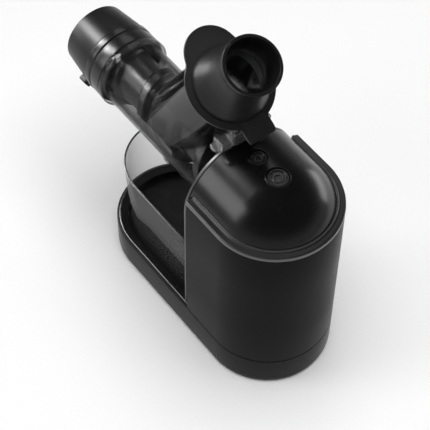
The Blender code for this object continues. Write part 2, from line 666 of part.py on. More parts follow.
for j in range(last):
    bm.faces.new((outer[j][0], outer[j + 1][0], inner[j + 1][0], inner[j][0]))
    bm.faces.new((outer[j][around], outer[j + 1][around], inner[j + 1][around], inner[j][around]))
finish("strainer_screen", bm, STEEL, AXLE, metal=1.0)

# Auger: core and one helical flight, grown from a radius that follows the helix.
AUGER_Y0 = DRUM_FRONT - 0.0060
AUGER_Y1 = 0.0135
bm = bmesh.new()
rings = []
count = 24
stations = 48
for k in range(stations + 1):
    f = k / stations
    y = AUGER_Y0 + (AUGER_Y1 - AUGER_Y0) * f
    core = 0.0130 + 0.0050 * (1.0 - f)
    grow = min(1.0, max(0.0, (f - 0.03) / 0.05)) * min(1.0, max(0.0, (0.93 - f) / 0.04))
    ring = []
    for i in range(count):
        a = 2.0 * math.pi * i / count
        turn = (a / (2.0 * math.pi) + AUGER_TURNS * f) % 1.0
        near = abs(turn - 0.5) * 2.0
        lift = max(0.0, 1.0 - near / 0.34) ** 0.6
        r = core + (AUGER_R - core) * lift * grow
        if f > 0.95:
            r = 0.0150
        ring.append(AXLE + Vector((r * math.cos(a), y, r * math.sin(a))))
    rings.append(ring)
loft(bm, rings)
auger = finish("auger", bm, NYLON, AXLE)
bm = bmesh.new()
loft(bm, [circle(AXLE + Y_AXIS * y, Y_AXIS, 0.0066 + 0.0004, 6) for y in (-0.0095, 0.0145)])
boolean(auger, cutter("cut_auger_socket", bm))
bm = bmesh.new()
rod(bm, AXLE + Y_AXIS * (CAP_Y0 + 0.0120), AXLE + Y_AXIS * (AUGER_Y0 + 0.0020), 0.0040, 16)
boolean(auger, cutter("add_auger_pin", bm), "UNION")

# Locking collar round the front of the drum, with a thumb tab.
bm = bmesh.new()
revolve(bm, AXLE, Y_AXIS, [(COLLAR_Y0, DRUM_R + GAP), (COLLAR_Y0, DRUM_R + 0.0033),
                           (COLLAR_Y0 + 0.0010, DRUM_R + 0.0039), (COLLAR_Y0 + 0.0066, DRUM_R + 0.0039),
                           (COLLAR_Y0 + 0.0074, DRUM_R + 0.0027), (COLLAR_Y0 + 0.0092, DRUM_R + 0.0027),
                           (COLLAR_Y0 + 0.0098, DRUM_R + 0.0037), (COLLAR_Y1 - 0.0070, DRUM_R + 0.0037),
                           (COLLAR_Y1 - 0.0056, DRUM_R + 0.0043), (COLLAR_Y1 - 0.0012, DRUM_R + 0.0043),
                           (COLLAR_Y1, DRUM_R + 0.0035), (COLLAR_Y1, DRUM_R + GAP)], 36, close=True)
finish("locking_collar", bm, BLACK, AXLE)

# End cap: black cup with a spigot in the drum and a pulp outlet below.
bm = bmesh.new()
revolve(bm, AXLE, Y_AXIS, [(CAP_Y0, 0.0150), (CAP_Y0, DRUM_R - 0.0023), (CAP_Y0 + 0.0008, DRUM_R - 0.0015),
                           (CAP_Y1 - 0.0010, DRUM_R + 0.0029), (CAP_Y1, DRUM_R + 0.0021),
                           (CAP_Y1, DRUM_R - 0.0004),
                           (DRUM_FRONT - GAP, DRUM_R - 0.0004), (DRUM_FRONT - GAP, DRUM_IN - GAP),
                           (DRUM_FRONT + 0.0030, DRUM_IN - GAP),
                           (DRUM_FRONT + 0.0030, DRUM_IN - 0.0024),
                           (DRUM_FRONT - 0.0060, DRUM_IN - 0.0024), (CAP_Y0 + 0.0030, DRUM_IN - 0.0024),
                           (CAP_Y0 + 0.0030, 0.0150)], 36, close=True)
end_cap = finish("end_cap", bm, BLACK, AXLE)
bm = bmesh.new()
tab = math.radians(-28.0)
out = Vector((math.cos(tab), 0.0, math.sin(tab)))
side = Vector((-math.sin(tab), 0.0, math.cos(tab)))
corners = [(DRUM_R + 0.0010, -0.0054), (DRUM_R + 0.0067, -0.0044), (DRUM_R + 0.0067, 0.0044),
           (DRUM_R + 0.0010, 0.0054)]
loft(bm, [[AXLE + out * a + side * b + Y_AXIS * y for a, b in corners]
          for y in (CAP_Y1 - 0.0110, CAP_Y1 - 0.0004)])
boolean(end_cap, cutter("add_cap_tab", bm), "UNION")
bm = bmesh.new()
box(bm, -0.0130, 0.0130, CAP_Y0 + 0.0080, CAP_Y0 + 0.0280, AXIS_Z - DRUM_R - 0.0065,
    AXIS_Z - DRUM_R + 0.0135)
boolean(end_cap, cutter("cut_pulp_outlet", bm))

# Back-pressure knob that turns in the nose of the cap.
bm = bmesh.new()
revolve(bm, AXLE, Y_AXIS, [(CAP_Y0 - 0.0050, 0.0100), (CAP_Y0 - 0.0050, 0.0155),
                           (CAP_Y0 - 0.0040, 0.0165), (CAP_Y0 - GAP, 0.0165),
                           (CAP_Y0 - GAP, 0.0147), (CAP_Y0 + 0.0033, 0.0147),
                           (CAP_Y0 + 0.0033, 0.0156), (CAP_Y0 + 0.0053, 0.0146),
                           (CAP_Y0 + 0.0200, 0.0100), (CAP_Y0 + 0.0200, 0.0043),
                           (CAP_Y0 + 0.0110, 0.0043), (CAP_Y0 + 0.0080, 0.0100)],
        24, close=True)
pressure_knob = finish("pressure_knob", bm, DARK, AXLE)
bm = bmesh.new()
box(bm, -0.0022, 0.0022, CAP_Y0 - 0.0040, CAP_Y0 + 0.0020, AXIS_Z - 0.0130, AXIS_Z + 0.0130)
boolean(pressure_knob, cutter("add_knob_grip", bm), "UNION")

# ------------------------------------------------------------------- hopper
# Bell of the hopper, a shell turned about the tilted feed axis.
bm = bmesh.new()
NECK_R = BELL_R - 0.0109
outer = [(0.0006, MOUTH_R), (0.0030, MOUTH_R), (0.0044, MOUTH_R - 0.0012), (0.0120, NECK_R),
         (0.0230, NECK_R + 0.0006), (0.0330, NECK_R + 0.0028), (0.0420, NECK_R + 0.0062),
         (0.0490, NECK_R + 0.0094), (BELL_H, BELL_R)]
inner = [(BELL_H, FEED_IN - 0.0028), (0.0440, NECK_R + 0.0034), (0.0340, NECK_R - 0.0008),
         (0.0249, NECK_R - 0.0036), (0.0120, NECK_R - 0.0030), (0.0040, MOUTH_R - 0.0034),
         (0.0, MOUTH_R - 0.0028), (0.0, MOUTH_R - 0.0006)]
revolve(bm, MOUTH, -FEED_N, outer + inner, 36, close=True)
finish("hopper_bell", bm, BLACK, MOUTH)


def plate_radius(angle):
    """Plate outline about the feed axis; angle 0 is +x and 90 degrees is ahead."""
    best = PLATE_R
    lobe_c = PLATE_R - 0.0117
    lobe_r = PLATE_R - 0.0151
    s = math.sin(angle)
    under = lobe_r ** 2 - (lobe_c * math.cos(angle)) ** 2
    if s > 0.0 and under > 0.0:
        best = max(best, lobe_c * s + math.sqrt(under))
    half = 0.0140
    far = TONGUE_END
    if s < 0.0 and abs(far * math.cos(angle) / s) <= half:
        best = max(best, far / -s)
    return best


# Hopper plate: round flange with a front lobe and a rear tongue.
angles = [2.0 * math.pi * k / 72.0 for k in range(72)]
edge = math.atan2(TONGUE_END, 0.0140)
angles += [2.0 * math.pi - edge, math.pi + edge]
angles += [2.0 * math.pi - edge + 0.02, math.pi + edge - 0.02]
angles = sorted(angles)
bm = bmesh.new()
rings = []
h0 = BELL_H + GAP
h1 = h0 + PLATE_T


def plate_ring(h, scale_off, radius=None):
    ring = []
    for a in angles:
        r = radius if radius is not None else plate_radius(a) - scale_off
        ring.append(feed_point(h, r * math.cos(a), r * math.sin(a)))
    return ring


loft(bm, [plate_ring(h0, 0.0006), plate_ring(h0 + 0.0006, 0.0), plate_ring(h1, 0.0),
          plate_ring(h1, 0.0, FEED_IN - GAP), plate_ring(h1 + 0.0100, 0.0, FEED_IN - GAP),
          plate_ring(h1 + 0.0100, 0.0, FEED_IN - GAP - 0.0020), plate_ring(h0, 0.0, FEED_IN - 0.0028)],
     close=True)
finish("hopper_plate", bm, BLACK, MOUTH)

# ---------------------------------------------------------------------- jug
# Thin clear jug with a round front and a flat back against the housing.
JUG_Z0 = TRAY_FLOOR + GAP
JUG_BACK = FRONT_Y - 0.0022
rings = []


def jug_radius(z):
    f = (z - JUG_Z0) / (JUG_RIM_Z - JUG_Z0)
    return JUG_BASE_R + (JUG_R - JUG_BASE_R) * f


bm = bmesh.new()
for z, off in ((JUG_Z0, 0.0020), (JUG_Z0 + 0.0020, 0.0), (JUG_RIM_Z, 0.0), (JUG_RIM_Z, JUG_WALL),
               (JUG_Z0 + JUG_WALL + 0.0010, JUG_WALL), (JUG_Z0 + JUG_WALL, JUG_WALL + 0.0012)):
    rings.append([(x, y, z) for x, y in d_outline(jug_radius(z) - off, JUG_BACK - off)])
loft(bm, rings)
finish("jug", bm, CLEAR, (0.0, 0.0, JUG_Z0), alpha=0.3)
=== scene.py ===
import math

import bmesh
import bpy
import numpy as np
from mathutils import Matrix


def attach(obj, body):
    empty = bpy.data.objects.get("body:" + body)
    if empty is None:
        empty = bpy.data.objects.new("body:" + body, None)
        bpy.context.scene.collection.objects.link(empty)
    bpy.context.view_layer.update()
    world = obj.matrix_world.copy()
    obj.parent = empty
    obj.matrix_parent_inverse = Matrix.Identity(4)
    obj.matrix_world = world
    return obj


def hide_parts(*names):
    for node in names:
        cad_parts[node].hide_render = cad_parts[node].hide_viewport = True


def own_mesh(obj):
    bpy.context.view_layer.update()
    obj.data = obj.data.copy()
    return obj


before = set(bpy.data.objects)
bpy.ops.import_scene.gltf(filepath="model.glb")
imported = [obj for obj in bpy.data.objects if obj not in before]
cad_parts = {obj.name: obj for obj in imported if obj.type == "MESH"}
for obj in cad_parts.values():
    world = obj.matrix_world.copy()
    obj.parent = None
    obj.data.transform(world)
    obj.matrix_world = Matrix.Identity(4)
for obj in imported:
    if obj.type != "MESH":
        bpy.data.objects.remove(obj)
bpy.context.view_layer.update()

# ------------------------------------------------------------ studio
# The table is a pale sheet under a pale horizon, lit by seven area lamps; three
# of them show only as sheen. The camera looks down from behind, on the left.


def plug(tree, node, inputs):
    """Fills a node's inputs by name: sockets are linked, plain values are written."""
    for key, value in inputs.items():
        if isinstance(value, bpy.types.NodeSocket):
            tree.links.new(value, node.inputs[key])
        else:
            node.inputs[key].default_value = value


def wire(tree, kind, inputs=None, **settings):
    """One new shader node: settings are its options, inputs fill its sockets."""
    made = tree.nodes.new(kind)
    for key, value in settings.items():
        setattr(made, key, value)
    plug(tree, made, inputs or {})
    return made


def noise(tree, scale, detail, **more):
    """A noise factor from 0 to 1 over Object coordinates."""
    spot = wire(tree, "ShaderNodeTexCoord")
    made = wire(tree, "ShaderNodeTexNoise", {
        "Vector": spot.outputs["Object"], "Scale": scale, "Detail": detail, **more})
    return made.outputs["Fac"]


def tone_steps(tree, fac, stops):
    """Colour ramp through (place, grey or colour) stops."""
    ramp = wire(tree, "ShaderNodeValToRGB", {"Fac": fac})
    while len(ramp.color_ramp.elements) < len(stops):
        ramp.color_ramp.elements.new(0.5)
    for element, (place, tone) in zip(ramp.color_ramp.elements, stops):
        element.position = place
        tone = (tone, tone, tone) if isinstance(tone, float) else tone
        element.color = (*tone, 1.0)
    return ramp.outputs["Color"]


def blank_material(name):
    """A new Principled material, its tree and its shader."""
    made = bpy.data.materials.new(name)
    made.use_nodes = True
    return made, made.node_tree, made.node_tree.nodes["Principled BSDF"]


def opened(mesh):
    """A mesh opened for editing, its doubled points merged."""
    work = bmesh.new()
    work.from_mesh(mesh)
    bmesh.ops.remove_doubles(work, verts=work.verts[:], dist=2e-6)
    return work


def written(work, mesh):
    """Writes the edit back, smooth shaded with creases kept over 30 degrees."""
    work.to_mesh(mesh)
    work.free()
    mesh.shade_smooth()
    mesh.set_sharp_from_angle(angle=math.radians(30.0))


def lay_mesh(name, points, faces):
    """An object from flat lists of points and faces, its faces turned outwards."""
    mesh = bpy.data.meshes.new(name)
    mesh.from_pydata(points, [], faces)
    work = opened(mesh)
    bmesh.ops.recalc_face_normals(work, faces=work.faces[:])
    if work.calc_volume(signed=True) < 0.0:
        bmesh.ops.reverse_faces(work, faces=work.faces[:])
    written(work, mesh)
    made = bpy.data.objects.new(name, mesh)
    bpy.context.scene.collection.objects.link(made)
    return made


def skin(name, grid, around=True, ends="face"):
    """Four-sided faces between the rows of a (rows, columns, 3) array of points.

    `around` joins the last column to the first. `ends` closes the first and last
    row: "face" with one face, "strip" with a ladder between the two halves of
    the row, "ring" by joining the last row to the first, "none" leaves them.
    """
    rows, columns = grid.shape[:2]
    place = np.arange(rows * columns).reshape(rows, columns)
    if ends == "ring":
        place = np.vstack([place, place[:1]])
    side = np.roll(place, -1, axis=1) if around else place[:, 1:]
    left = place if around else place[:, :-1]
    faces = np.stack([left[:-1], side[:-1], side[1:], left[1:]], axis=-1)
    faces = faces.reshape(-1, 4).tolist()
    for row, turn in ((place[0], -1), (place[-1], 1)):
        if ends == "face":
            faces.append(row[::turn].tolist())
        if ends == "strip":
            half = columns // 2
            near, far = row[:half], row[::-1][:half]
            ladder = np.stack([near[:-1], near[1:], far[1:], far[:-1]], axis=-1)
            faces += ladder[:, ::-turn].tolist()
    return lay_mesh(name, grid.reshape(-1, 3).tolist(), faces)


def joined(*parts):
    """Points from their coordinates, each an array or a number, spread to one shape."""
    return np.stack(np.broadcast_arrays(*parts), axis=-1)


def circle(count):
    """Angles spaced evenly round a full turn."""
    return np.linspace(0.0, 2.0 * math.pi, count, endpoint=False)


camera_data = bpy.data.cameras.new("studio_camera")
camera_data.lens = 127.03
camera_data.sensor_width = 36.0
camera_data.clip_start = 0.05
camera_data.clip_end = 60.0
camera = bpy.data.objects.new("studio_camera", camera_data)
camera.location = (0.51813, 0.64460, 1.25549)
camera.rotation_euler = [math.radians(angle) for angle in (35.7628, -0.5547, 142.5164)]
bpy.context.scene.collection.objects.link(camera)
bpy.context.scene.camera = camera
bpy.context.scene.view_settings.view_transform = "Standard"

# Table sheet: a disc whose rim rises a little, as rings of growing radius.
ring = np.linspace(0.0, 1.0, 12) ** 1.5 * 9.0
turn = circle(64)
sheet = joined(np.outer(ring, np.cos(turn)), np.outer(ring, np.sin(turn)),
               0.004 * np.clip(ring[:, None] - 6.0, 0.0, None) ** 2)
table = skin("table_sheet", sheet, ends="none")
table.data.flip_normals()
look, tree, shader = blank_material("table_paper")
fibre = tone_steps(tree, noise(tree, 420.0, 3.0), [(0.3, 0.86), (0.7, 0.88)])
plug(tree, shader, {"Base Color": fibre, "Roughness": 0.85, "Specular IOR Level": 0.1})
table.data.materials.append(look)

# Pale horizon under a dark ceiling.
sky = bpy.data.worlds.new("studio_air")
sky.use_nodes = True
bpy.context.scene.world = sky
air = sky.node_tree
toward = wire(air, "ShaderNodeTexCoord")
split = wire(air, "ShaderNodeSeparateXYZ", {"Vector": toward.outputs["Generated"]})
glow = tone_steps(air, split.outputs["Z"], [(0.0, 0.50), (0.14, 0.36), (0.34, 0.06), (1.0, 0.012)])
plug(air, air.nodes["Background"], {"Color": glow, "Strength": 1.0})


def soft_box(name, place, aim, wide, high, power, **seen):
    """A rectangular area lamp at a place, turned to face a point; `seen` limits its light."""
    lamp = bpy.data.lights.new(name, "AREA")
    lamp.shape = "RECTANGLE"
    lamp.size = wide
    lamp.size_y = high
    lamp.energy = power
    made = bpy.data.objects.new(name, lamp)
    made.location = place
    away = np.array(place, float) - np.array(aim, float)
    flat = math.hypot(away[0], away[1])
    made.rotation_euler = (math.atan2(flat, away[2]), 0.0, math.atan2(away[0], -away[1]))
    for key, value in seen.items():
        setattr(made, key, value)
    bpy.context.scene.collection.objects.link(made)


soft_box("key_box", (0.585, -1.461, 1.085), (0.0, -0.15, 0.20), 0.50, 0.60, 25.0,
         visible_diffuse=False)
soft_box("collar_box", (0.417, -0.722, 0.925), (0.017, -0.142, 0.215), 0.24, 0.42, 6.0,
         visible_diffuse=False)
soft_box("front_strip", (0.62, -1.66, 0.30), (0.0, -0.15, 0.25), 0.60, 0.45, 10.0,
         visible_diffuse=False)
soft_box("left_box", (1.44, -0.79, 0.99), (0.04, 0.05, 0.22), 0.80, 0.90, 8.0)
soft_box("right_box", (-1.9, 0.10, 0.30), (0.0, 0.05, 0.20), 1.2, 0.5, 6.5)
soft_box("back_box", (-0.81, -1.16, 1.69), (0.0, 0.0, 0.20), 0.8, 0.8, 2.4)
soft_box("ceiling_fill", (0.02, 0.22, 2.6), (0.02, 0.21, 0.0), 2.3, 2.3, 79.0,
         visible_glossy=False)

# ------------------------------------------------------------ base moulding
# The base is one deep black ABS moulding with a jug recess in the front.
# A flat plate, screwed on from below, closes it and carries the rubber feet.
BASE_R, BASE_HALF, BASE_TOP = 0.0620, 0.0691, 0.0374
JUG_MIDDLE, RECESS_R, RECESS_BACK, RECESS_CORNER = -0.0657, 0.0529, 0.0168, 0.0080


def shader_group(name, inputs, outputs):
    """A named node group with number inputs and number outputs."""
    made = bpy.data.node_groups.new(name, "ShaderNodeTree")
    for way, labels in (("INPUT", inputs), ("OUTPUT", outputs)):
        for label in labels:
            made.interface.new_socket(name=label, in_out=way, socket_type="NodeSocketFloat")
    for label, value in inputs.items():
        made.interface.items_tree[label].default_value = value
    return made, made.nodes.new("NodeGroupInput"), made.nodes.new("NodeGroupOutput")


def span(tree, value, start, stop, low=0.0, high=1.0, **settings):
    """A value between start and stop mapped in proportion to low and high."""
    return wire(tree, "ShaderNodeMapRange", {
        "Value": value, "From Min": start, "From Max": stop, "To Min": low, "To Max": high},
        **settings).outputs["Result"]


def mixed(tree, amount, under, over):
    """The colour `under` with the colour `over` laid on it by an amount from 0 to 1."""
    return wire(tree, "ShaderNodeMix", {0: amount, 6: under, 7: (*over, 1.0)},
                data_type="RGBA").outputs[2]


def bumped(tree, height, strength, distance):
    """A normal tilted by the slope of a height."""
    return wire(tree, "ShaderNodeBump", {
        "Height": height, "Strength": strength, "Distance": distance}).outputs["Normal"]


# Moulded face: fine spark grain, slow cloud of gloss, and their height.
moulded_face, given, result = shader_group(
    "moulded_face", {"Grain Scale": 1500.0, "Cloud Scale": 18.0}, ["Grain", "Cloud", "Height"])
grain = noise(moulded_face, given.outputs["Grain Scale"], 2.0)
cloud = noise(moulded_face, given.outputs["Cloud Scale"], 4.0)
height = wire(moulded_face, "ShaderNodeMath", {0: grain, 1: cloud}, operation="ADD")
plug(moulded_face, result, {"Grain": grain, "Cloud": cloud, "Height": height.outputs["Value"]})

# Handled edges: the convex edges and a few hair scratches polish up paler; the paler convex edges
# are partly wear and partly a painted highlight along the edge lines.
edge_wear_and_highlight, given, result = shader_group(
    "edge_wear_and_highlight", {"Edge Start": 0.52, "Edge Full": 0.60, "Scratch Scale": 60.0},
    ["Edge", "Scratch"])
shape = wire(edge_wear_and_highlight, "ShaderNodeNewGeometry")
sharp = span(edge_wear_and_highlight, shape.outputs["Pointiness"],
             given.outputs["Edge Start"], given.outputs["Edge Full"])
spot = wire(edge_wear_and_highlight, "ShaderNodeTexCoord")
stretch = wire(edge_wear_and_highlight, "ShaderNodeMapping", {
    "Vector": spot.outputs["Object"], "Rotation": (0.4, 0.2, 0.9), "Scale": (1.0, 14.0, 9.0)})
hair = wire(edge_wear_and_highlight, "ShaderNodeTexNoise", {
    "Vector": stretch.outputs["Vector"], "Scale": given.outputs["Scratch Scale"], "Detail": 6.0})
scratch = span(edge_wear_and_highlight, hair.outputs["Fac"], 0.66, 0.74)
plug(edge_wear_and_highlight, result, {"Edge": sharp, "Scratch": scratch})

# Settled dust: a thin film on faces that look up, broken into specks.
settled_dust, given, result = shader_group("settled_dust", {"Speck Scale": 900.0}, ["Dust"])
shape = wire(settled_dust, "ShaderNodeNewGeometry")
upward = wire(settled_dust, "ShaderNodeSeparateXYZ", {"Vector": shape.outputs["Normal"]})
facing_up = span(settled_dust, upward.outputs["Z"], 0.35, 1.0)
grit = span(settled_dust, noise(settled_dust, given.outputs["Speck Scale"], 3.0), 0.60, 0.78)
film = wire(settled_dust, "ShaderNodeMath", {0: facing_up, 1: grit}, operation="MULTIPLY")
plug(settled_dust, result, {"Dust": film.outputs["Value"]})


def black_moulding(name, deep, pale, gloss, dull, bump=0.02, grain=1500.0, level=0.5, coat=0.0):
    """Black plastic: tone and gloss drift with the cloud, edges go paler as wear and painted
    highlight, dust lies on top.
    """
    made, tree, shader = blank_material(name)
    face = wire(tree, "ShaderNodeGroup", {"Grain Scale": grain}, node_tree=moulded_face).outputs
    edge = wire(tree, "ShaderNodeGroup", node_tree=edge_wear_and_highlight).outputs
    dust = wire(tree, "ShaderNodeGroup", node_tree=settled_dust).outputs
    tone = tone_steps(tree, face["Cloud"], [(0.3, deep), (0.7, pale)])
    # Convex edges mixed paler: partly wear, partly a painted highlight for the bright edge lines.
    wear_and_highlight = mixed(tree, edge["Edge"], tone, (pale * 2.2, pale * 2.2, pale * 2.3))
    lifted = wire(tree, "ShaderNodeMath", {0: dust["Dust"], 1: 0.05}, operation="MULTIPLY")
    dusty = mixed(tree, lifted.outputs["Value"], wear_and_highlight, (0.30, 0.29, 0.28))
    sheen = span(tree, face["Cloud"], 0.3, 0.7, gloss, dull)
    scuffed = wire(tree, "ShaderNodeMath", {0: edge["Scratch"], 1: 0.06, 2: sheen},
                   operation="MULTIPLY_ADD")
    plug(tree, shader, {
        "Base Color": dusty, "Roughness": scuffed.outputs["Value"],
        "Normal": bumped(tree, face["Height"], bump, 0.0004),
        "Specular IOR Level": level, "Coat Weight": coat, "Coat Roughness": 0.08})
    return made


def settle(piece, body, slot, *nodes, look=None):
    """Gives a piece its material, the body it rides on and the CAD nodes it stands for."""
    if look is not None:
        piece.data.materials.clear()
        piece.data.materials.append(look)
    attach(piece, body)
    if nodes:
        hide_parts(*nodes)
    return piece


def eased(points, reach, steps=5, closed=False):
    """A profile whose corners are quadratic curves that start `reach` before each one."""
    p = np.asarray(points, float)
    reach = np.broadcast_to(np.asarray(reach, float), (len(p),))
    before, after = np.roll(p, 1, axis=0), np.roll(p, -1, axis=0)
    back, ahead = before - p, after - p
    long_b = np.linalg.norm(back, axis=1) + 1e-12
    long_a = np.linalg.norm(ahead, axis=1) + 1e-12
    cut = np.minimum(reach, 0.45 * np.minimum(long_b, long_a))[:, None]
    start, stop = p + back / long_b[:, None] * cut, p + ahead / long_a[:, None] * cut
    t = np.linspace(0.0, 1.0, steps)[None, :, None]
    curve = ((1 - t) ** 2 * start[:, None] + 2 * t * (1 - t) * p[:, None]
             + t * t * stop[:, None])
    if closed:
        return curve.reshape(-1, p.shape[1])
    return np.vstack([p[:1], curve[1:-1].reshape(-1, p.shape[1]), p[-1:]])


def stadium_run(arc=72, straight=40):
    """Centres and outward directions round a long plan with two half-round ends."""
    a = np.linspace(0.0, math.pi, arc, endpoint=False)
    y = np.linspace(BASE_HALF, -BASE_HALF, straight, endpoint=False)
    centre = np.vstack([joined(a * 0, BASE_HALF), joined(y * 0, y),
                        joined(a * 0, -BASE_HALF), joined(y * 0, -y)])
    bend, flank = joined(np.cos(a), np.sin(a)), joined(y * 0 + 1.0, 0.0)
    return centre, np.vstack([bend, -flank, -bend, flank])


def recess_line(radius, back, corner, arc=72, straight=40):
    """Plan of a jug: rounded flat back, two straight sides and a half-round front."""
    turn = arc // 3
    b = np.linspace(0.0, math.pi / 2.0, turn, endpoint=False)
    x = np.linspace(radius - corner, corner - radius, arc - 2 * turn, endpoint=False)
    right = joined(radius - corner + corner * np.cos(b), back - corner + corner * np.sin(b))
    left = joined(corner - radius - corner * np.sin(b), back - corner + corner * np.cos(b))
    y = np.linspace(back - corner, JUG_MIDDLE, straight, endpoint=False)
    a = np.linspace(math.pi, 2.0 * math.pi, arc, endpoint=False)
    nose = joined(radius * np.cos(a), JUG_MIDDLE + radius * np.sin(a))
    rise = np.linspace(JUG_MIDDLE, back - corner, straight, endpoint=False)
    return np.vstack([right, joined(x, back), left, joined(-radius, y), nose,
                      joined(radius, rise)])


def tray_row(kind, inset, z):
    """One level line of the base: kind 0 is its outline, 1 the recess, inset inwards."""
    centre, out = stadium_run()
    if kind == 0:
        plan = centre + (BASE_R - inset) * out
    else:
        plan = recess_line(RECESS_R - inset, RECESS_BACK - inset, RECESS_CORNER)
    return joined(*plan.T, z)


steps = eased([(0.0030, 0.0053), (0.0, 0.0053), (0.0, BASE_TOP), (0.0045, BASE_TOP)],
              [0, 0.0008, 0.0026, 0], 7)
lip = eased([(-0.0020, BASE_TOP), (0.0, BASE_TOP), (0.0, 0.0294), (0.0060, 0.0294)],
            [0, 0.0012, 0.0020, 0], 7)
rows = [tray_row(0, 0.0300, 0.0053)] + [tray_row(0, inset, z) for inset, z in steps]
rows += [tray_row(1, inset, z) for inset, z in lip] + [tray_row(1, 0.0300, 0.0294)]
tray = skin("base_tray_moulding", np.array(rows))
tray_black = black_moulding("tray_satin_black", 0.006, 0.009, 0.24, 0.32, 0.02, 1500.0, 0.08)
settle(tray, "housing", "base_tray", "base_tray", look=tray_black)


def round_line(middle, height, wide=0.0010, high=0.0010):
    """Section of a bead: (middle + wide * cos, height + high * sin) over 14 angles."""
    b = circle(14)
    return joined(middle + wide * np.cos(b), height + high * np.sin(b))


# Polished round bead that runs just inside the top outer edge.
bead_black = black_moulding("polished_edge_black", 0.020, 0.030, 0.18, 0.24, 0.01, 1500.0, 1.0)
bead = skin("base_edge_bead", np.array([
    tray_row(0, inset, z) for inset, z in round_line(0.0032, BASE_TOP + 0.0001, -0.0010)]),
    ends="ring")
settle(bead, "housing", "base_tray", look=bead_black)

# Bottom plate: matt black sheet with a bevelled edge, a hair inside the base.
edge = eased([(0.0300, 0.0020), (0.0010, 0.0020), (0.0010, 0.0050), (0.0300, 0.0050)],
             [0, 0.0008, 0.0006, 0], 5)
plate = skin("bottom_plate", np.array([tray_row(0, inset, z) for inset, z in edge]))
under_black = black_moulding("underside_matt_black", 0.018, 0.026, 0.50, 0.62, 0.10, 900.0)
settle(plate, "housing", "base_plate", "base_plate", look=under_black)

# Feet and grommet: black rubber, a little chalky with talc.
rubber, tree, shader = blank_material("foot_rubber")
face = wire(tree, "ShaderNodeGroup", {"Grain Scale": 700.0}, node_tree=moulded_face).outputs
plug(tree, shader, {
    "Base Color": tone_steps(tree, face["Grain"], [(0.3, 0.012), (0.75, 0.030)]),
    "Roughness": span(tree, face["Cloud"], 0.0, 1.0, 0.70, 0.92),
    "Normal": bumped(tree, face["Height"], 0.2, 0.0004)})


def repaint(look, *names):
    """A CAD node kept as it is takes this material in every slot."""
    for name in names:
        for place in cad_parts[name].material_slots:
            place.material = look


repaint(rubber, "cable_grommet", "drum_seal", *["rubber_foot_" + str(i) for i in range(1, 6)])

# Screws and springs: zinc plated steel with fine turning marks round the axis.
turning_marks, given, result = shader_group(
    "turning_marks", {"Line Scale": 900.0}, ["Mark", "Stain"])
spot = wire(turning_marks, "ShaderNodeTexCoord")
lathe = wire(turning_marks, "ShaderNodeTexWave", {
    "Vector": spot.outputs["Object"], "Scale": given.outputs["Line Scale"], "Distortion": 1.5,
    "Detail": 2.0}, wave_type="BANDS", bands_direction="Y")
plug(turning_marks, result, {
    "Mark": lathe.outputs["Fac"], "Stain": noise(turning_marks, 90.0, 5.0)})


def bare_metal(name, deep, pale, gloss, dull, lines):
    """Plain metal: oxide clouds tint it, machining lines roughen and groove it."""
    made, tree, shader = blank_material(name)
    marks = wire(tree, "ShaderNodeGroup", {"Line Scale": lines}, node_tree=turning_marks)
    mark, stain = marks.outputs["Mark"], marks.outputs["Stain"]
    plug(tree, shader, {
        "Base Color": tone_steps(tree, stain, [(0.3, deep), (0.7, pale)]),
        "Roughness": span(tree, mark, 0.0, 1.0, gloss, dull),
        "Normal": bumped(tree, mark, 0.08, 0.0002), "Metallic": 1.0})
    return made


zinc = bare_metal("zinc_plate", (0.46, 0.47, 0.50), (0.66, 0.67, 0.68), 0.22, 0.36, 700.0)
repaint(zinc, "power_spring", "reverse_spring", *["base_screw_" + str(i) for i in range(1, 5)])

# ------------------------------------------------------------ motor and gears
# Inside the housing: a pressed steel motor, a two-stage steel gear train in
# nylon cases, a bronze bush, and the switch board. They are seen only apart.
steel = bare_metal("turned_steel", (0.40, 0.41, 0.43), (0.60, 0.61, 0.62), 0.20, 0.38, 1100.0)
bronze = bare_metal("sintered_bronze", (0.34, 0.22, 0.09), (0.60, 0.42, 0.20), 0.34, 0.50, 600.0)
repaint(steel, "motor_can", "motor_rotor", "layshaft_gear", "output_spindle")
repaint(bronze, "spindle_bush")
case_nylon = black_moulding("case_glass_nylon", 0.022, 0.040, 0.46, 0.62, 0.25, 500.0)
repaint(case_nylon, "motor_bell", "motor_cradle", "gearbox_cover", "gearbox_case",
        "power_switch", "reverse_switch", "board_relay")

# Circuit board: green lacquer over woven glass, with copper showing at tracks.
laminate, tree, shader = blank_material("board_lacquer")
spot = wire(tree, "ShaderNodeTexCoord")
weave = wire(tree, "ShaderNodeTexChecker", {
    "Vector": spot.outputs["Object"], "Scale": 900.0,
    "Color1": (0.012, 0.10, 0.04, 1.0), "Color2": (0.016, 0.13, 0.055, 1.0)})
track = wire(tree, "ShaderNodeTexBrick", {
    "Vector": spot.outputs["Object"], "Scale": 160.0, "Mortar Size": 0.06,
    "Color1": (0, 0, 0, 1), "Color2": (0, 0, 0, 1), "Mortar": (1, 1, 1, 1)})
copper = mixed(tree, track.outputs["Color"], weave.outputs["Color"], (0.06, 0.17, 0.06))
plug(tree, shader, {"Base Color": copper, "Roughness": 0.35,
                    "Normal": bumped(tree, track.outputs["Fac"], 0.3, 0.0002)})
repaint(laminate, "control_board")

# Capacitor: shrunk plastic sleeve over an aluminium can.
sleeve_blue, tree, shader = blank_material("capacitor_sleeve")
face = wire(tree, "ShaderNodeGroup", node_tree=moulded_face).outputs
blues = [(0.3, (0.010, 0.016, 0.06)), (0.7, (0.022, 0.034, 0.11))]
plug(tree, shader, {"Base Color": tone_steps(tree, face["Cloud"], blues),
                    "Roughness": span(tree, face["Grain"], 0.0, 1.0, 0.22, 0.36)})
repaint(sleeve_blue, "board_capacitor")

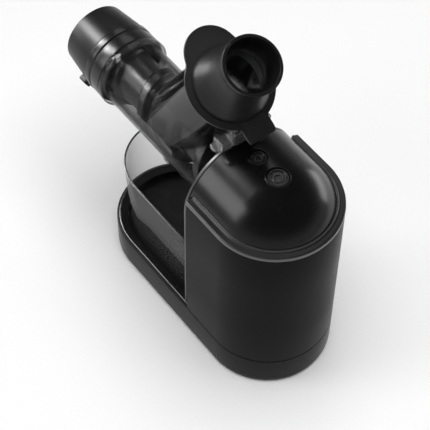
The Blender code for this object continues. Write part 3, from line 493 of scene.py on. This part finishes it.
# ------------------------------------------------------------ housing sleeve
# The outer sleeve is a U of satin black ABS, pushed up from the base and
# held by hooks inside. Its wall is 2.5 mm, with bullnosed front edges.
HOUSE_Z0, RING_Z0, SLEEVE_TOP, SLEEVE_Y = 0.0377, 0.2022, 0.2069, 0.0248
SLEEVE_IN, NOSE = BASE_R - 0.0025, 0.0013


def u_run(front, straight=26, arc=96):
    """Centres and outward directions along one side, round the back and back again."""
    y = np.linspace(front, BASE_HALF, straight, endpoint=False)
    a = np.linspace(0.0, math.pi, arc + 1)
    centre = np.vstack([joined(y * 0, y), joined(a * 0, BASE_HALF), joined(y * 0, y[::-1])])
    flank = joined(y * 0 + 1.0, 0.0)
    return centre, np.vstack([flank, joined(np.cos(a), np.sin(a)), -flank])


def carried(front, section, nose=0.0, middle=0.0):
    """A (radius, height) section carried along the U; both ends thin over `nose`.

    Each point is centre + outward * radius, and near both ends the radius closes on
    the wall's middle by the quarter-circle law sqrt(1 - (1 - s)^2).
    """
    centre, out = u_run(front)
    fill = np.ones(len(centre))
    if nose > 0.0:
        ease = 1.0 - np.cos(np.linspace(0.0, math.pi / 2.0, 8))[1:]
        extra = front + nose * ease
        keep = centre[:, 1] > front + nose + 1e-6
        side = np.abs(out[:, 0]) > 0.999
        core = centre[keep | ~side]
        lead = joined(extra * 0.0, extra)
        centre = np.vstack([[(0.0, front)], lead, core, lead[::-1], [(0.0, front)]])
        flat = np.repeat([[1.0, 0.0]], len(lead) + 1, axis=0)
        out = np.vstack([flat, out[keep | ~side], -flat])
        s = np.clip((centre[:, 1] - front) / nose, 0.0, 1.0)
        fill = np.sqrt(np.clip(1.0 - (1.0 - s) ** 2, 0.02, 1.0))
    radius, height = section.T
    wall = middle + (radius - middle) * fill[:, None]
    flat = centre[:, None, :] + out[:, None, :] * wall[:, :, None]
    return joined(flat[..., 0], flat[..., 1], height)


section = eased([(BASE_R, HOUSE_Z0), (BASE_R, 0.09), (BASE_R, 0.15), (BASE_R, RING_Z0 - 0.0003),
                 (SLEEVE_IN, RING_Z0 - 0.0003), (SLEEVE_IN, 0.15), (SLEEVE_IN, 0.09),
                 (SLEEVE_IN, HOUSE_Z0)],
                [0.0006, 0, 0, 0.0005, 0.0003, 0, 0, 0.0003], 5, closed=True)
sleeve = skin("housing_sleeve_wall", carried(SLEEVE_Y, section, NOSE, BASE_R - 0.00125))
sleeve_black = black_moulding("sleeve_satin_black", 0.0050, 0.0070, 0.27, 0.35, 0.03, 1300.0, 0.035)
settle(sleeve, "housing", "housing_sleeve", "housing_sleeve", look=sleeve_black)

# Shoulder ring: the flat ledge that caps the sleeve, snapped on.
DOME_R, DOME_Z = 0.0592, 0.1830


def beside_dome(z):
    """Half width sqrt(R^2 - (z - centre)^2) of the cover at a height, and 0.3 mm of play."""
    return math.sqrt(DOME_R ** 2 - (z - DOME_Z) ** 2) + 0.0003


top_in = beside_dome(SLEEVE_TOP)
section = eased([(BASE_R, RING_Z0), (BASE_R, SLEEVE_TOP), (top_in + 0.0018, SLEEVE_TOP),
                 (beside_dome(SLEEVE_TOP + 0.0018), SLEEVE_TOP + 0.0018), (top_in, SLEEVE_TOP),
                 (beside_dome(RING_Z0), RING_Z0)],
                [0.0004, 0.0016, 0.0014, 0.0002, 0.0002, 0.0003], 7, closed=True)
shoulder = skin("shoulder_ledge", carried(SLEEVE_Y, section, NOSE, 0.5 * (BASE_R + top_in)))
shoulder_black = black_moulding("shoulder_satin_black", 0.009, 0.013, 0.27, 0.35, 0.03, 1300.0,
                                0.90)
settle(shoulder, "housing", "shoulder_ring", "shoulder_ring", look=shoulder_black)

# Round bead that closes the gap between ledge and cover.
ring_mid = top_in + 0.0006
bead = skin("ledge_bead", carried(
    SLEEVE_Y + 0.0012, round_line(ring_mid, SLEEVE_TOP + 0.0006), 0.0010, ring_mid))
settle(bead, "housing", "shoulder_ring", look=bead_black)

# ------------------------------------------------------------ dome cover
# One glossy black moulding: a half-round vault that ends in a quarter ball.
# Two round wells are cored through its crest for the buttons.
COVER_Y, COVER_WALL, ROLL = 0.0213, 0.0025, 0.0008
WELLS, UP = (("power", 0.0720, 0.0102), ("reverse", 0.0455, 0.0081)), (0, 0, 1)


def turned(name, profile, foot, axis, sides=96, closed=False):
    """A (distance along the axis, radius) profile turned about an axis through `foot`."""
    axis = np.asarray(axis, float) / np.linalg.norm(axis)
    guide = np.array([1.0, 0.0, 0.0]) if abs(axis[0]) < 0.9 else np.array([0.0, 1.0, 0.0])
    u = guide - axis * guide.dot(axis)
    u /= np.linalg.norm(u)
    v = np.cross(axis, u)
    a = circle(sides)
    spoke = np.cos(a)[:, None] * u + np.sin(a)[:, None] * v
    p = np.asarray(profile, float)
    grid = np.asarray(foot, float) + p[:, None, :1] * axis + p[:, None, 1:] * spoke[None]
    return skin(name, grid, ends="ring" if closed else "face")


def shaped(piece, *tools):
    """Joins or cuts a piece with tool solids for good; each tool is (object, operation)."""
    for tool, operation in tools:
        step = piece.modifiers.new(tool.name, "BOOLEAN")
        step.operation, step.solver, step.object = operation, "EXACT", tool
    bpy.context.view_layer.update()
    solved = piece.evaluated_get(bpy.context.evaluated_depsgraph_get())
    done = bpy.data.meshes.new_from_object(solved)
    piece.modifiers.clear()
    piece.data = done
    work = opened(done)
    bmesh.ops.dissolve_degenerate(work, edges=work.edges[:], dist=1e-6)
    written(work, done)
    for tool, _ in tools:
        bpy.data.objects.remove(tool, do_unlink=True)
    return piece


t = np.linspace(0.0, math.pi / 2.0, 56)
wall_z = np.linspace(HOUSE_Z0, DOME_Z, 14, endpoint=False)
lines = [np.vstack([joined(radius, wall_z),
                    joined(radius * np.cos(t), DOME_Z + radius * np.sin(t))])
         for radius in (DOME_R, DOME_R - COVER_WALL)]
cover_grid = carried(COVER_Y, np.vstack([lines[0], lines[1][::-1]]))
# The front rim is rounded: its outer edge rolls back over 0.8 mm.
rolled, inward = cover_grid.copy(), (0.0, ROLL, 0.0)
for end in (0, -1):
    edge = rolled[end, :len(lines[0])]
    edge[:, 0] *= 1.0 - ROLL / DOME_R
    vault = edge[:, 2] > DOME_Z
    edge[vault, 2] = DOME_Z + (edge[vault, 2] - DOME_Z) * (1.0 - ROLL / DOME_R)
cover = skin("dome_cover_shell", np.concatenate([
    rolled[:1], cover_grid[:1] + inward, rolled[1:-1], cover_grid[-1:] + inward, rolled[-1:]]),
    ends="strip")
# The two halves meet along the crest: their points merge and the web between them goes.
crest = opened(cover.data)
web = [face for face in crest.faces if all(abs(v.co.x) < 1e-6 for v in face.verts)]
bmesh.ops.delete(crest, geom=web, context="FACES")
bmesh.ops.dissolve_degenerate(crest, edges=crest.edges[:], dist=1e-7)
written(crest, cover.data)
shaped(cover, *[(turned("well_" + label, [(0.222, r), (0.262, r)], (0.0, y, 0.0), UP, 64),
                 "DIFFERENCE") for label, y, r in WELLS])
cover_black = black_moulding("cover_gloss_black", 0.0020, 0.0032, 0.20, 0.26, 0.012, 1700.0, 0.48)
settle(cover, "housing", "dome_cover", "dome_cover", look=cover_black)

# Well rims: the cored edge is broken with a small round that follows the vault.
for label, y, r in WELLS:
    a, b = circle(72)[:, None], circle(12)
    reach = r + 0.00055 + 0.00045 * np.cos(b)
    x, along = reach * np.cos(a), reach * np.sin(a)
    past = np.clip(y + along - BASE_HALF, 0.0, None)
    z = DOME_Z + np.sqrt(DOME_R ** 2 - x ** 2 - past ** 2) + 0.00022 * np.sin(b) + 0.00005
    rim = skin(label + "_well_rim", joined(x, y + along, z), ends="ring")
    settle(rim, "housing", "dome_cover", look=cover_black)

# ------------------------------------------------------------ front bulkhead
# The flat arch behind the drum, glued inside the cover. A raised ring locates
# the drum, and the drive spindle comes out of the hole in its middle.
AXIS_Z = 0.1810
AXLE, ALONG = (0.0, 0.0, AXIS_Z), (0, 1, 0)


def arch_line(radius, floor, across=60, foot=30):
    """Outline of an arch with a flat foot, anticlockwise from the right foot corner."""
    a = np.linspace(0.0, math.pi, across)
    up = np.linspace(floor, DOME_Z, foot, endpoint=False)
    level = np.linspace(-radius, radius, foot, endpoint=False)
    return np.vstack([
        joined(radius, up), joined(radius * np.cos(a), DOME_Z + radius * np.sin(a)),
        joined(-radius, up[::-1]), joined(level[1:], floor)])


def arch_row(inset, y, lift=0.0):
    """The cover's arch outline stood up at one y, inset inwards and lifted at its foot."""
    x, z = arch_line(DOME_R - inset, HOUSE_Z0 + lift).T
    return joined(x, y, z)


def hole_row(radius, y):
    """The spindle hole, its points in line with those of the arch outline."""
    x, z = arch_line(DOME_R, HOUSE_Z0).T
    a = np.arctan2(z - AXIS_Z, x)
    return joined(radius * np.cos(a), y, AXIS_Z + radius * np.sin(a))


bulk_rows = [hole_row(0.0105, 0.0210), hole_row(0.0105, 0.0186), hole_row(0.0111, 0.0180),
             arch_row(0.0012, 0.0180, 0.0008), arch_row(0.0003, 0.0184, 0.0002),
             arch_row(0.0, 0.0190), arch_row(0.0, 0.0210)]
bulkhead = skin("front_bulkhead_arch", np.array(bulk_rows), ends="ring")
bulk_black = black_moulding("bulkhead_satin_black", 0.008, 0.012, 0.30, 0.40, 0.05, 1000.0)
settle(bulkhead, "housing", "front_bulkhead", "front_bulkhead", look=bulk_black)
profile = eased([(0.0130, 0.0412), (0.0130, 0.0440), (0.0182, 0.0440), (0.0182, 0.0412)],
                0.0006, 5, closed=True)
socket = turned("drum_socket_ring", profile, AXLE, ALONG, 128, closed=True)
settle(socket, "housing", "front_bulkhead", look=bulk_black)

# ------------------------------------------------------------ buttons
# Two round push buttons in black ABS, each with a shallow dished face and a
# plain raised ring. A flange below the cover stops them from falling out.
button_black = black_moulding("button_satin_black", 0.006, 0.010, 0.22, 0.30, 0.02, 1800.0, 0.6)
mark_grey, tree, shader = blank_material("button_ring_print")
face = wire(tree, "ShaderNodeGroup", node_tree=moulded_face).outputs
plug(tree, shader, {"Base Color": tone_steps(tree, face["Grain"], [(0.2, 0.035), (0.8, 0.055)]),
                    "Roughness": 0.4})
COIL_R, WIRE_R, WOUND = 0.0046, 0.00035, 5.0 * math.pi
for label, y, well in WELLS:
    top, r = 0.2410, well - 0.0006
    flange = DOME_Z + math.sqrt((DOME_R - COVER_WALL) ** 2 - (well + 0.0020) ** 2) - 0.0009
    profile = eased([(top - 0.0090, 0.0), (top - 0.0090, 0.0030), (flange - 0.0014, 0.0034),
                     (flange - 0.0014, well + 0.0012), (flange, well + 0.0012), (flange, r),
                     (top, r), (top, r - 0.0018), (top - 0.0009, r - 0.0024),
                     (top - 0.0009, r * 0.54), (top - 0.0004, r * 0.50), (top - 0.0004, r * 0.38),
                     (top - 0.0010, r * 0.33), (top - 0.0010, 0.0)],
                    [0, .0004, .0004, .0002, .0002, .0002, .0006, .0006, .0005, .0004,
                     .0003, .0003, .0004, 0])
    cap = turned(label + "_button_cap", profile, (0.0, y, 0.0), UP, 72)
    settle(cap, label + "_button", label + "_button", label + "_button", look=button_black)
    ring = [(top - 0.00045, r * 0.395), (top - 0.00025, r * 0.40), (top - 0.00025, r * 0.48),
            (top - 0.00045, r * 0.485)]
    a, b = np.linspace(0.0, WOUND, 121)[:, None], circle(10)
    reach = COIL_R + WIRE_R * np.cos(b)
    coil = skin(label + "_spring_coil", joined(
        reach * np.cos(a), y + reach * np.sin(a),
        0.2274 + 0.0072 * a / WOUND + WIRE_R * np.sin(b)))
    settle(coil, "housing", label + "_spring", label + "_spring", look=zinc)
    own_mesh(coil)
    print_ring = turned(label + "_button_ring", ring, (0.0, y, 0.0), UP, 72, closed=True)
    settle(print_ring, label + "_button", label + "_button", look=mark_grey)

# ------------------------------------------------------------ clear drum
# The drum, feed chute, spout and latch are one clear smoky copolyester
# moulding, 2.5 mm thick, polished in the tool. It slides onto the spindle.
DRUM_R, DRUM_IN, DRUM_FRONT, DRUM_BACK = 0.0335, 0.0310, -0.1500, 0.0177
MOUTH = np.array([0.0, 0.0331, 0.3481])
FEED_DOWN = np.array([0.0, -0.5, -math.sqrt(0.75)])
FEED_LONG = (0.3481 - AXIS_Z) / math.sqrt(0.75)
CHUTE_TOP = 0.0575

# Flow film: slow waves left by the melt, and a tint that gathers in them.
flow_film, given, result = shader_group("flow_film", {"Wave Scale": 22.0}, ["Wave", "Tint"])
plug(flow_film, result, {
    "Wave": noise(flow_film, given.outputs["Wave Scale"], 2.0, Distortion=0.6),
    "Tint": noise(flow_film, 9.0, 3.0)})


def clear_plastic(name, deep, pale, facing, grazing, gloss, bend=0.5, level=1.0, throat_shade=None):
    """Clear moulding: it closes towards its edges; the last argument (low z, high z, most) is
    painted shade: between two heights it turns nearly opaque and near black.
    """
    made, tree, shader = blank_material(name)
    film = wire(tree, "ShaderNodeGroup", node_tree=flow_film).outputs
    rim = wire(tree, "ShaderNodeLayerWeight", {"Blend": bend})
    closing = span(tree, rim.outputs["Facing"], 0.15, 0.95, facing, grazing,
                   interpolation_type="SMOOTHSTEP")
    # Painted shade: between two heights the clear wall closes to near black, so the hollow behind
    # it reads dark.
    if throat_shade:
        spot = wire(tree, "ShaderNodeTexCoord")
        split = wire(tree, "ShaderNodeSeparateXYZ", {"Vector": spot.outputs["Object"]})
        shade_band = span(tree, split.outputs["Z"], throat_shade[0], throat_shade[1], 0.0, throat_shade[2])
        closing = wire(tree, "ShaderNodeMath", {0: closing, 1: shade_band},
                       operation="MAXIMUM").outputs["Value"]
    plug(tree, shader, {
        "Base Color": tone_steps(tree, film["Tint"], [(0.35, deep), (0.65, pale)]),
        "Alpha": closing, "Roughness": span(tree, film["Wave"], 0.0, 1.0, gloss, gloss + 0.05),
        "Normal": bumped(tree, film["Wave"], 0.07, 0.001),
        "Specular IOR Level": level, "IOR": 1.6})
    return made


def pillow(name, low, high, power=0.30, across=48, up=33):
    """A block with eased edges: x = a*sgn(c)|c|^p and so on, over the angles of a ball."""
    low, high = np.array(low, float), np.array(high, float)
    a = circle(across)
    b = np.linspace(-math.pi / 2.0, math.pi / 2.0, up)[:, None]

    def bent(w):
        """The signed power sgn(w)|w|^p."""
        return np.sign(w) * np.abs(w) ** power

    unit = joined(bent(np.cos(b)) * bent(np.cos(a)), bent(np.cos(b)) * bent(np.sin(a)),
                  bent(np.sin(b)))
    return skin(name, (low + high) / 2.0 + unit * (high - low) / 2.0)


drum = turned("clear_drum", eased([
    (DRUM_FRONT, 0.0), (DRUM_FRONT, DRUM_R), (DRUM_BACK - 0.0080, DRUM_R),
    (DRUM_BACK - 0.0070, DRUM_R + 0.0026), (DRUM_BACK, DRUM_R + 0.0026), (DRUM_BACK, 0.0)],
    [0, .0008, .0006, .0006, .0006, 0])[1:-1], AXLE, ALONG, 144)
chute = turned("chute", eased([
    (CHUTE_TOP, 0.0), (CHUTE_TOP, 0.0372), (CHUTE_TOP + 0.0035, 0.0372),
    (CHUTE_TOP + 0.0045, 0.0350), (FEED_LONG - 0.0060, 0.0350), (FEED_LONG - 0.0060, 0.0)],
    [0, .0006, .0005, .0008, 0, 0])[1:-1], MOUTH, FEED_DOWN, 144)
SPOUT_FOOT = (0.0, -0.0700, 0.0)
spout = turned("spout", eased([
    (0.1265, 0.0), (0.1265, 0.0145), (0.1540, 0.0145), (0.1540, 0.0)],
    [0, .0007, 0, 0])[1:-1], SPOUT_FOOT, UP, 72)
drum_bore = turned("drum_bore", [
    (DRUM_FRONT - 0.002, DRUM_IN), (DRUM_BACK - 0.0030, DRUM_IN),
    (DRUM_BACK - 0.0030, 0.0200), (DRUM_BACK + 0.002, 0.0200)], AXLE, ALONG, 144)
chute_bore = turned("chute_bore", [(CHUTE_TOP - 0.002, 0.0328), (FEED_LONG - 0.0080, 0.0328)],
                    MOUTH, FEED_DOWN, 144)
spout_bore = turned("spout_bore", [(0.1245, 0.0125), (0.1560, 0.0125)], SPOUT_FOOT, UP, 72)
shaped(drum, (chute, "UNION"), (spout, "UNION"), (drum_bore, "DIFFERENCE"),
       (chute_bore, "DIFFERENCE"), (spout_bore, "DIFFERENCE"))
# Painted shade: from z 0.212 up to 0.256 the chute closes to near black, so the throat under the
# hopper looks dark.
drum_clear = clear_plastic("drum_smoky_clear_painted_throat_shade", 0.006, 0.010, 0.17, 0.70, 0.03, 0.5, 0.05,
                           (0.212, 0.256, 0.97))
settle(drum, "drum", "drum_body", "drum_body", look=drum_clear)

# Latch: a thick clear rib and cross bar behind the chute, under the tongue.
rib = pillow("latch_rib", (-0.0124, -0.0020, 0.2436), (0.0124, 0.0275, 0.2620))
bar = pillow("latch_bar", (-0.0310, 0.0165, 0.2490), (0.0310, 0.0255, 0.2550))
# Painted glint: the pale grey tone stands in for the sparkle of the clear latch pieces.
latch_glint_clear = clear_plastic("latch_painted_glint_clear", 0.45, 0.75, 0.75, 1.0, 0.03, 0.5, 0.8)
gloss = latch_glint_clear.node_tree.nodes["Principled BSDF"]
gloss.inputs["Transmission Weight"].default_value = 0.85
settle(rib, "drum", "drum_body", look=latch_glint_clear)
settle(bar, "drum", "drum_body", look=latch_glint_clear)
for label, low_x, high_x in (("left", 0.0128, 0.0245), ("right", -0.0245, -0.0128)):
    lug = pillow("latch_lug_" + label, (low_x, 0.0140, 0.2462), (high_x, 0.0272, 0.2576),
                 0.22, 32, 21)
    settle(lug, "drum", "drum_body", look=latch_glint_clear)

# ------------------------------------------------------------ strainer
# Half-round screen of pressed stainless steel, dropped in under the auger.
# Round-cornered slots are punched in staggered rows.
LINES_Y, LINES_A = 57, 98
a = np.radians(np.linspace(172.0, 368.0, LINES_A))
y = np.linspace(-0.0960, -0.0400, LINES_Y)[:, None]
cell_y, cell_a = np.meshgrid(np.arange(LINES_Y - 1), np.arange(LINES_A - 1), indexing="ij")
hole = (cell_y % 2 == 1) & ((cell_a + (cell_y // 2 % 2) * 2) % 4 >= 2)
hole &= (cell_y > 1) & (cell_y < LINES_Y - 3) & (cell_a > 1) & (cell_a < LINES_A - 3)
coats = [joined(radius * np.cos(a), y, AXIS_Z + radius * np.sin(a)).reshape(-1, 3)
         for radius in (0.0290, 0.0279)]
place = np.arange(LINES_Y * LINES_A).reshape(LINES_Y, LINES_A)
corners = np.stack([place[:-1, :-1], place[:-1, 1:], place[1:, 1:], place[1:, :-1]], axis=-1)
solid = ~hole
screen_faces = [corners[solid], corners[solid][:, ::-1] + place.size]
wide = np.pad(solid, 1)
for dy, da, i, j in ((-1, 0, 0, 1), (1, 0, 2, 3), (0, -1, 3, 0), (0, 1, 1, 2)):
    beyond = wide[1 + dy:LINES_Y + dy, 1 + da:LINES_A + da]
    edge = corners[solid & ~beyond]
    near, far = edge[:, (j, i)], edge[:, (i, j)] + place.size
    screen_faces.append(np.hstack([near, far]))
screen = lay_mesh("strainer_half_screen", np.vstack(coats).tolist(),
                  np.vstack(screen_faces).tolist())
screen_steel = bare_metal("screen_stainless", (0.55, 0.56, 0.58), (0.75, 0.76, 0.77),
                          0.16, 0.28, 500.0)
settle(screen, "drum", "strainer_screen", "strainer_screen", look=screen_steel)

# ------------------------------------------------------------ auger
# A thick single-start screw in glossy dark nylon. It rests on the spindle's
# hexagon at the back and turns on a pin in the cap at the front.
AUGER_Y0, AUGER_Y1, AUGER_R = -0.1560, 0.0135, 0.0268
f = np.linspace(0.0, 1.0, 340)[:, None]
a = circle(96)
core = 0.0140 + 0.0095 * (1.0 - f) ** 0.8
near = np.abs((a / (2.0 * math.pi) + 4.0 * f) % 1.0 - 0.5) * 2.0
climb = np.clip((0.40 - near) / 0.24, 0.0, 1.0)
grow = np.clip((f - 0.03) / 0.06, 0.0, 1.0) * np.clip((0.93 - f) / 0.05, 0.0, 1.0)
lift = climb * climb * (3.0 - 2.0 * climb) * grow * grow * (3.0 - 2.0 * grow)
reach = core + (AUGER_R - core) * lift
reach = np.where(f > 0.955, 0.0150, reach)
screw = joined(reach * np.cos(a), AUGER_Y0 + (AUGER_Y1 - AUGER_Y0) * f,
               AXIS_Z + reach * np.sin(a))


def disc_rows(pairs):
    """Rings about the drum axis for (y, radius) pairs, in line with the screw's columns."""
    y, radius = np.array(pairs).T[:, :, None]
    return joined(radius * np.cos(a), y, AXIS_Z + radius * np.sin(a))


nose = disc_rows([(-0.1900, 0.0002), (-0.1900, 0.0034), (-0.1894, 0.0040), (-0.1566, 0.0040),
                  (AUGER_Y0, 0.0046)])
tail = disc_rows([(AUGER_Y1, 0.0142), (AUGER_Y1, 0.0084), (0.0129, 0.0078), (-0.0094, 0.0078),
                  (-0.0095, 0.0002)])
auger = skin("auger_screw", np.concatenate([nose, screw, tail]))
auger_black = black_moulding("auger_gloss_nylon", 0.016, 0.028, 0.26, 0.34, 0.02, 900.0, 1.0)
settle(auger, "auger", "auger", "auger", look=auger_black)

# ------------------------------------------------------------ locking collar
# Black ring round the mouth of the drum with a clear flange behind it; a
# short turn pulls the end cap tight against the drum.
C0, C1 = -0.1655, -0.1370
profile = eased([(C0, 0.0338), (C0, 0.0374), (C0 + 0.0066, 0.0374), (C0 + 0.0074, 0.0362),
                 (C0 + 0.0092, 0.0362), (C0 + 0.0098, 0.0372), (C0 + 0.0212, 0.0372),
                 (C0 + 0.0216, 0.0356), (C0 + 0.0216, 0.0338)],
                [.0003, .0007, .0005, .0004, .0004, .0006, .0006, .0003, .0003], 5, closed=True)
collar = turned("locking_collar_ring", profile, AXLE, ALONG, 128, closed=True)
collar_black = black_moulding("collar_gloss_black", 0.007, 0.011, 0.20, 0.26, 0.02, 1200.0, 0.45)
settle(collar, "collar", "locking_collar", "locking_collar", look=collar_black)
profile = eased([(C0 + 0.0220, 0.0338), (C0 + 0.0220, 0.0360), (C0 + 0.0228, 0.0378),
                 (C1 - 0.0010, 0.0378), (C1, 0.0368), (C1, 0.0338)],
                [.0003, .0005, .0006, .0006, .0005, .0003], closed=True)
flange = turned("collar_clear_flange", profile, AXLE, ALONG, 128, closed=True)
flange_clear = clear_plastic("flange_clear", 0.03, 0.06, 0.25, 0.85, 0.03, 0.5, 0.6)
settle(flange, "collar", "locking_collar", look=flange_clear)

# ------------------------------------------------------------ end cap
# Black cup that closes the drum and holds the auger's pin; pulp drops from
# the square outlet below, and a side tab locks into the collar.
E0, E1 = -0.2020, -0.1658
profile = eased([(E0, 0.0150), (E0, 0.0320), (E1, 0.0366), (E1, 0.0331),
                 (DRUM_FRONT - 0.0003, 0.0331), (DRUM_FRONT - 0.0003, 0.0307),
                 (DRUM_FRONT + 0.0030, 0.0307), (DRUM_FRONT + 0.0030, 0.0286),
                 (DRUM_FRONT - 0.0060, 0.0286), (E0 + 0.0030, 0.0286), (E0 + 0.0030, 0.0150)],
                [.0004, .0016, .0009, .0003, .0003, .0003, .0005, .0004, .0004, .001, .0004],
                6, closed=True)
cap = turned("end_cap_cup", profile, AXLE, ALONG, 144, closed=True)
TAB_TURN, TAB_OUT = math.radians(-28.0), 0.0373
out = np.array([math.cos(TAB_TURN), 0.0, math.sin(TAB_TURN)])
side = np.array([-out[2], 0.0, out[0]])
tab = pillow("cap_tab", (-0.0029, -0.0053, -0.0052), (0.0029, 0.0053, 0.0052), 0.35)
turnover = np.array([out, [0.0, 1.0, 0.0], side])
where = np.array([v.co for v in tab.data.vertices]) @ turnover + np.array(AXLE) + out * TAB_OUT
where[:, 1] += E1 - 0.0057
tab.data.vertices.foreach_set("co", where.astype(np.float32).ravel())
outlet = pillow("outlet", (-0.0130, E0 + 0.0080, AXIS_Z - 0.0400),
                (0.0130, E0 + 0.0280, AXIS_Z - 0.0200), 0.12)
shaped(cap, (outlet, "DIFFERENCE"))
cap_black = black_moulding("cap_satin_black", 0.006, 0.009, 0.30, 0.38, 0.03, 1200.0, 0.25)
settle(cap, "end_cap", "end_cap", "end_cap", look=cap_black)
settle(tab, "end_cap", "end_cap", look=cap_black)

# Pressure knob in the nose of the cap, with a finger bar across it.
profile = eased([(E0 - 0.0050, 0.0), (E0 - 0.0050, 0.0165), (E0 - 0.0003, 0.0165),
                 (E0 - 0.0003, 0.0147), (E0 + 0.0033, 0.0147), (E0 + 0.0033, 0.0156),
                 (E0 + 0.0200, 0.0100), (E0 + 0.0200, 0.0044), (E0 + 0.0110, 0.0044),
                 (E0 + 0.0110, 0.0)],
                [0, .0012, .0003, .0003, .0003, .0006, .0006, .0003, 0, 0])
knob = turned("pressure_knob_body", profile, AXLE, ALONG, 72)
grip = pillow("pressure_knob_grip", (-0.0022, E0 - 0.0069, AXIS_Z - 0.0130),
              (0.0022, E0 - 0.0030, AXIS_Z + 0.0130), 0.4)
knob_black = black_moulding("knob_matt_black", 0.020, 0.030, 0.40, 0.52, 0.08, 900.0)
settle(knob, "knob", "pressure_knob", "pressure_knob", look=knob_black)
settle(grip, "knob", "pressure_knob", look=knob_black)

# ------------------------------------------------------------ hopper
# Bell-shaped filler in satin black, welded to a flange plate whose front lobe
# is a thumb rest and whose rear tongue hooks over the latch.
bell_line = eased([(0.0, 0.0246), (0.0, 0.0260), (0.0034, 0.0260), (0.0044, 0.0247),
                   (0.0120, 0.0236), (0.0230, 0.0242), (0.0330, 0.0264), (0.0420, 0.0298),
                   (0.0490, 0.0330), (0.0539, 0.0345), (0.0539, 0.0300), (0.0440, 0.0270),
                   (0.0340, 0.0228), (0.0249, 0.0200), (0.0120, 0.0206), (0.0040, 0.0226),
                   (0.0, 0.0232)],
                  [.0004, .0007, .0006, .0005, .003, .004, .004, .004, .003, .0004, .0006,
                   .005, .004, .004, .004, .001, .0006], 6, closed=True)
bell = turned("hopper_bell_shell", bell_line, MOUTH, FEED_DOWN, 144, closed=True)
bell_black = black_moulding("hopper_satin_black", 0.006, 0.009, 0.34, 0.42, 0.03, 1300.0, 0.24)
settle(bell, "hopper", "hopper_bell", "hopper_bell", look=bell_black)

PLATE_H0, PLATE_H1 = 0.0542, 0.0572
PLATE_R, LOBE_OUT, LOBE_R, TONGUE_HALF, TONGUE_END = 0.0401, 0.0284, 0.0250, 0.0140, 0.0527
FEED_AHEAD = np.array([0.0, -math.sqrt(0.75), 0.5])
a = circle(360)
c, s = np.cos(a), np.sin(a)
under = LOBE_R ** 2 - (LOBE_OUT * c) ** 2
lobe = np.where((s > 0) & (under > 0), LOBE_OUT * s + np.sqrt(np.clip(under, 0, None)), 0.0)
tongue_side = np.where(s < -0.2, TONGUE_HALF / np.clip(np.abs(c), 1e-6, None), 0.0)
tongue_end = np.where(s < -0.2, TONGUE_END / np.clip(-s, 1e-6, None), 0.0)
# High powers blend the reaches: near -22 the lesser wins, near 34 the greater.
tongue = (np.clip(tongue_side, 1e-4, 1.0) ** -22.0
          + np.clip(tongue_end, 1e-4, 1.0) ** -22.0) ** (-1.0 / 22.0)
outline = (PLATE_R ** 34.0 + lobe ** 34.0 + tongue ** 34.0) ** (1.0 / 34.0)
outline = np.minimum(outline, np.maximum(PLATE_R, np.maximum(lobe, tongue)) + 0.0006)
rows = []
for r, h in ((outline - .0010, PLATE_H0), (outline - .0003, PLATE_H0 + .0003),
             (outline, PLATE_H0 + .0010), (outline, PLATE_H1 - .0008),
             (outline - .0003, PLATE_H1 - .0002), (outline - .0009, PLATE_H1),
             (.0325, PLATE_H1), (.0325, PLATE_H1 + .0094), (.0320, PLATE_H1 + .0100),
             (.0305, PLATE_H1 + .0100), (.0301, PLATE_H0)):
    rows.append(MOUTH + FEED_DOWN * h + joined(r * c, 0.0, 0.0) + (r * s)[:, None] * FEED_AHEAD)
plate = skin("hopper_flange_plate", np.array(rows), ends="ring")
plate_black = black_moulding("plate_satin_black", 0.005, 0.008, 0.30, 0.38, 0.04, 1200.0, 0.35)
settle(plate, "hopper", "hopper_plate", "hopper_plate", look=plate_black)

# ------------------------------------------------------------ jug
# Thin clear jug of moulded copolyester that drops into the recess. Its back
# is flat against the bulkhead, and its rim is fire-bright from the tool.
JUG_Z0, JUG_RIM, JUG_BACK = 0.0297, 0.1240, 0.0158


def jug_row(z, inset):
    """Level line of the jug: the radius grows evenly with height from base to rim."""
    radius = 0.0484 + 0.0056 * (z - JUG_Z0) / (JUG_RIM - JUG_Z0)
    plan = recess_line(radius - inset, JUG_BACK - inset, 0.0070 - min(inset, 0.003))
    return joined(*plan.T, z)


wall = eased([(0.0300, JUG_Z0), (0.0, JUG_Z0), (0.0, JUG_Z0 + 0.03), (0.0, JUG_RIM - 0.03),
              (0.0, JUG_RIM), (0.0020, JUG_RIM), (0.0020, JUG_RIM - 0.03),
              (0.0020, JUG_Z0 + 0.03), (0.0020, JUG_Z0 + 0.0020), (0.0300, JUG_Z0 + 0.0020)],
             [0, .003, 0, 0, .0009, .0009, 0, 0, .002, 0], 6)
jug = skin("clear_jug", np.array([jug_row(z, inset) for inset, z in wall]))
jug_clear = clear_plastic("jug_clear", 0.03, 0.06, 0.03, 0.46, 0.03, 0.4, 0.30)
settle(jug, "jug", "jug", "jug", look=jug_clear)

# The rim is rolled over into a round bead, thick enough to look dark.
rim_clear = clear_plastic("jug_rim_clear", 0.02, 0.03, 0.80, 0.98, 0.04, 0.5, 1.0)
rim = skin("jug_rim_bead", np.array([
    jug_row(z, inset) for inset, z in round_line(0.0010, JUG_RIM - 0.0006, -0.0010, 0.0009)]),
    ends="ring")
settle(rim, "jug", "jug", look=rim_clear)
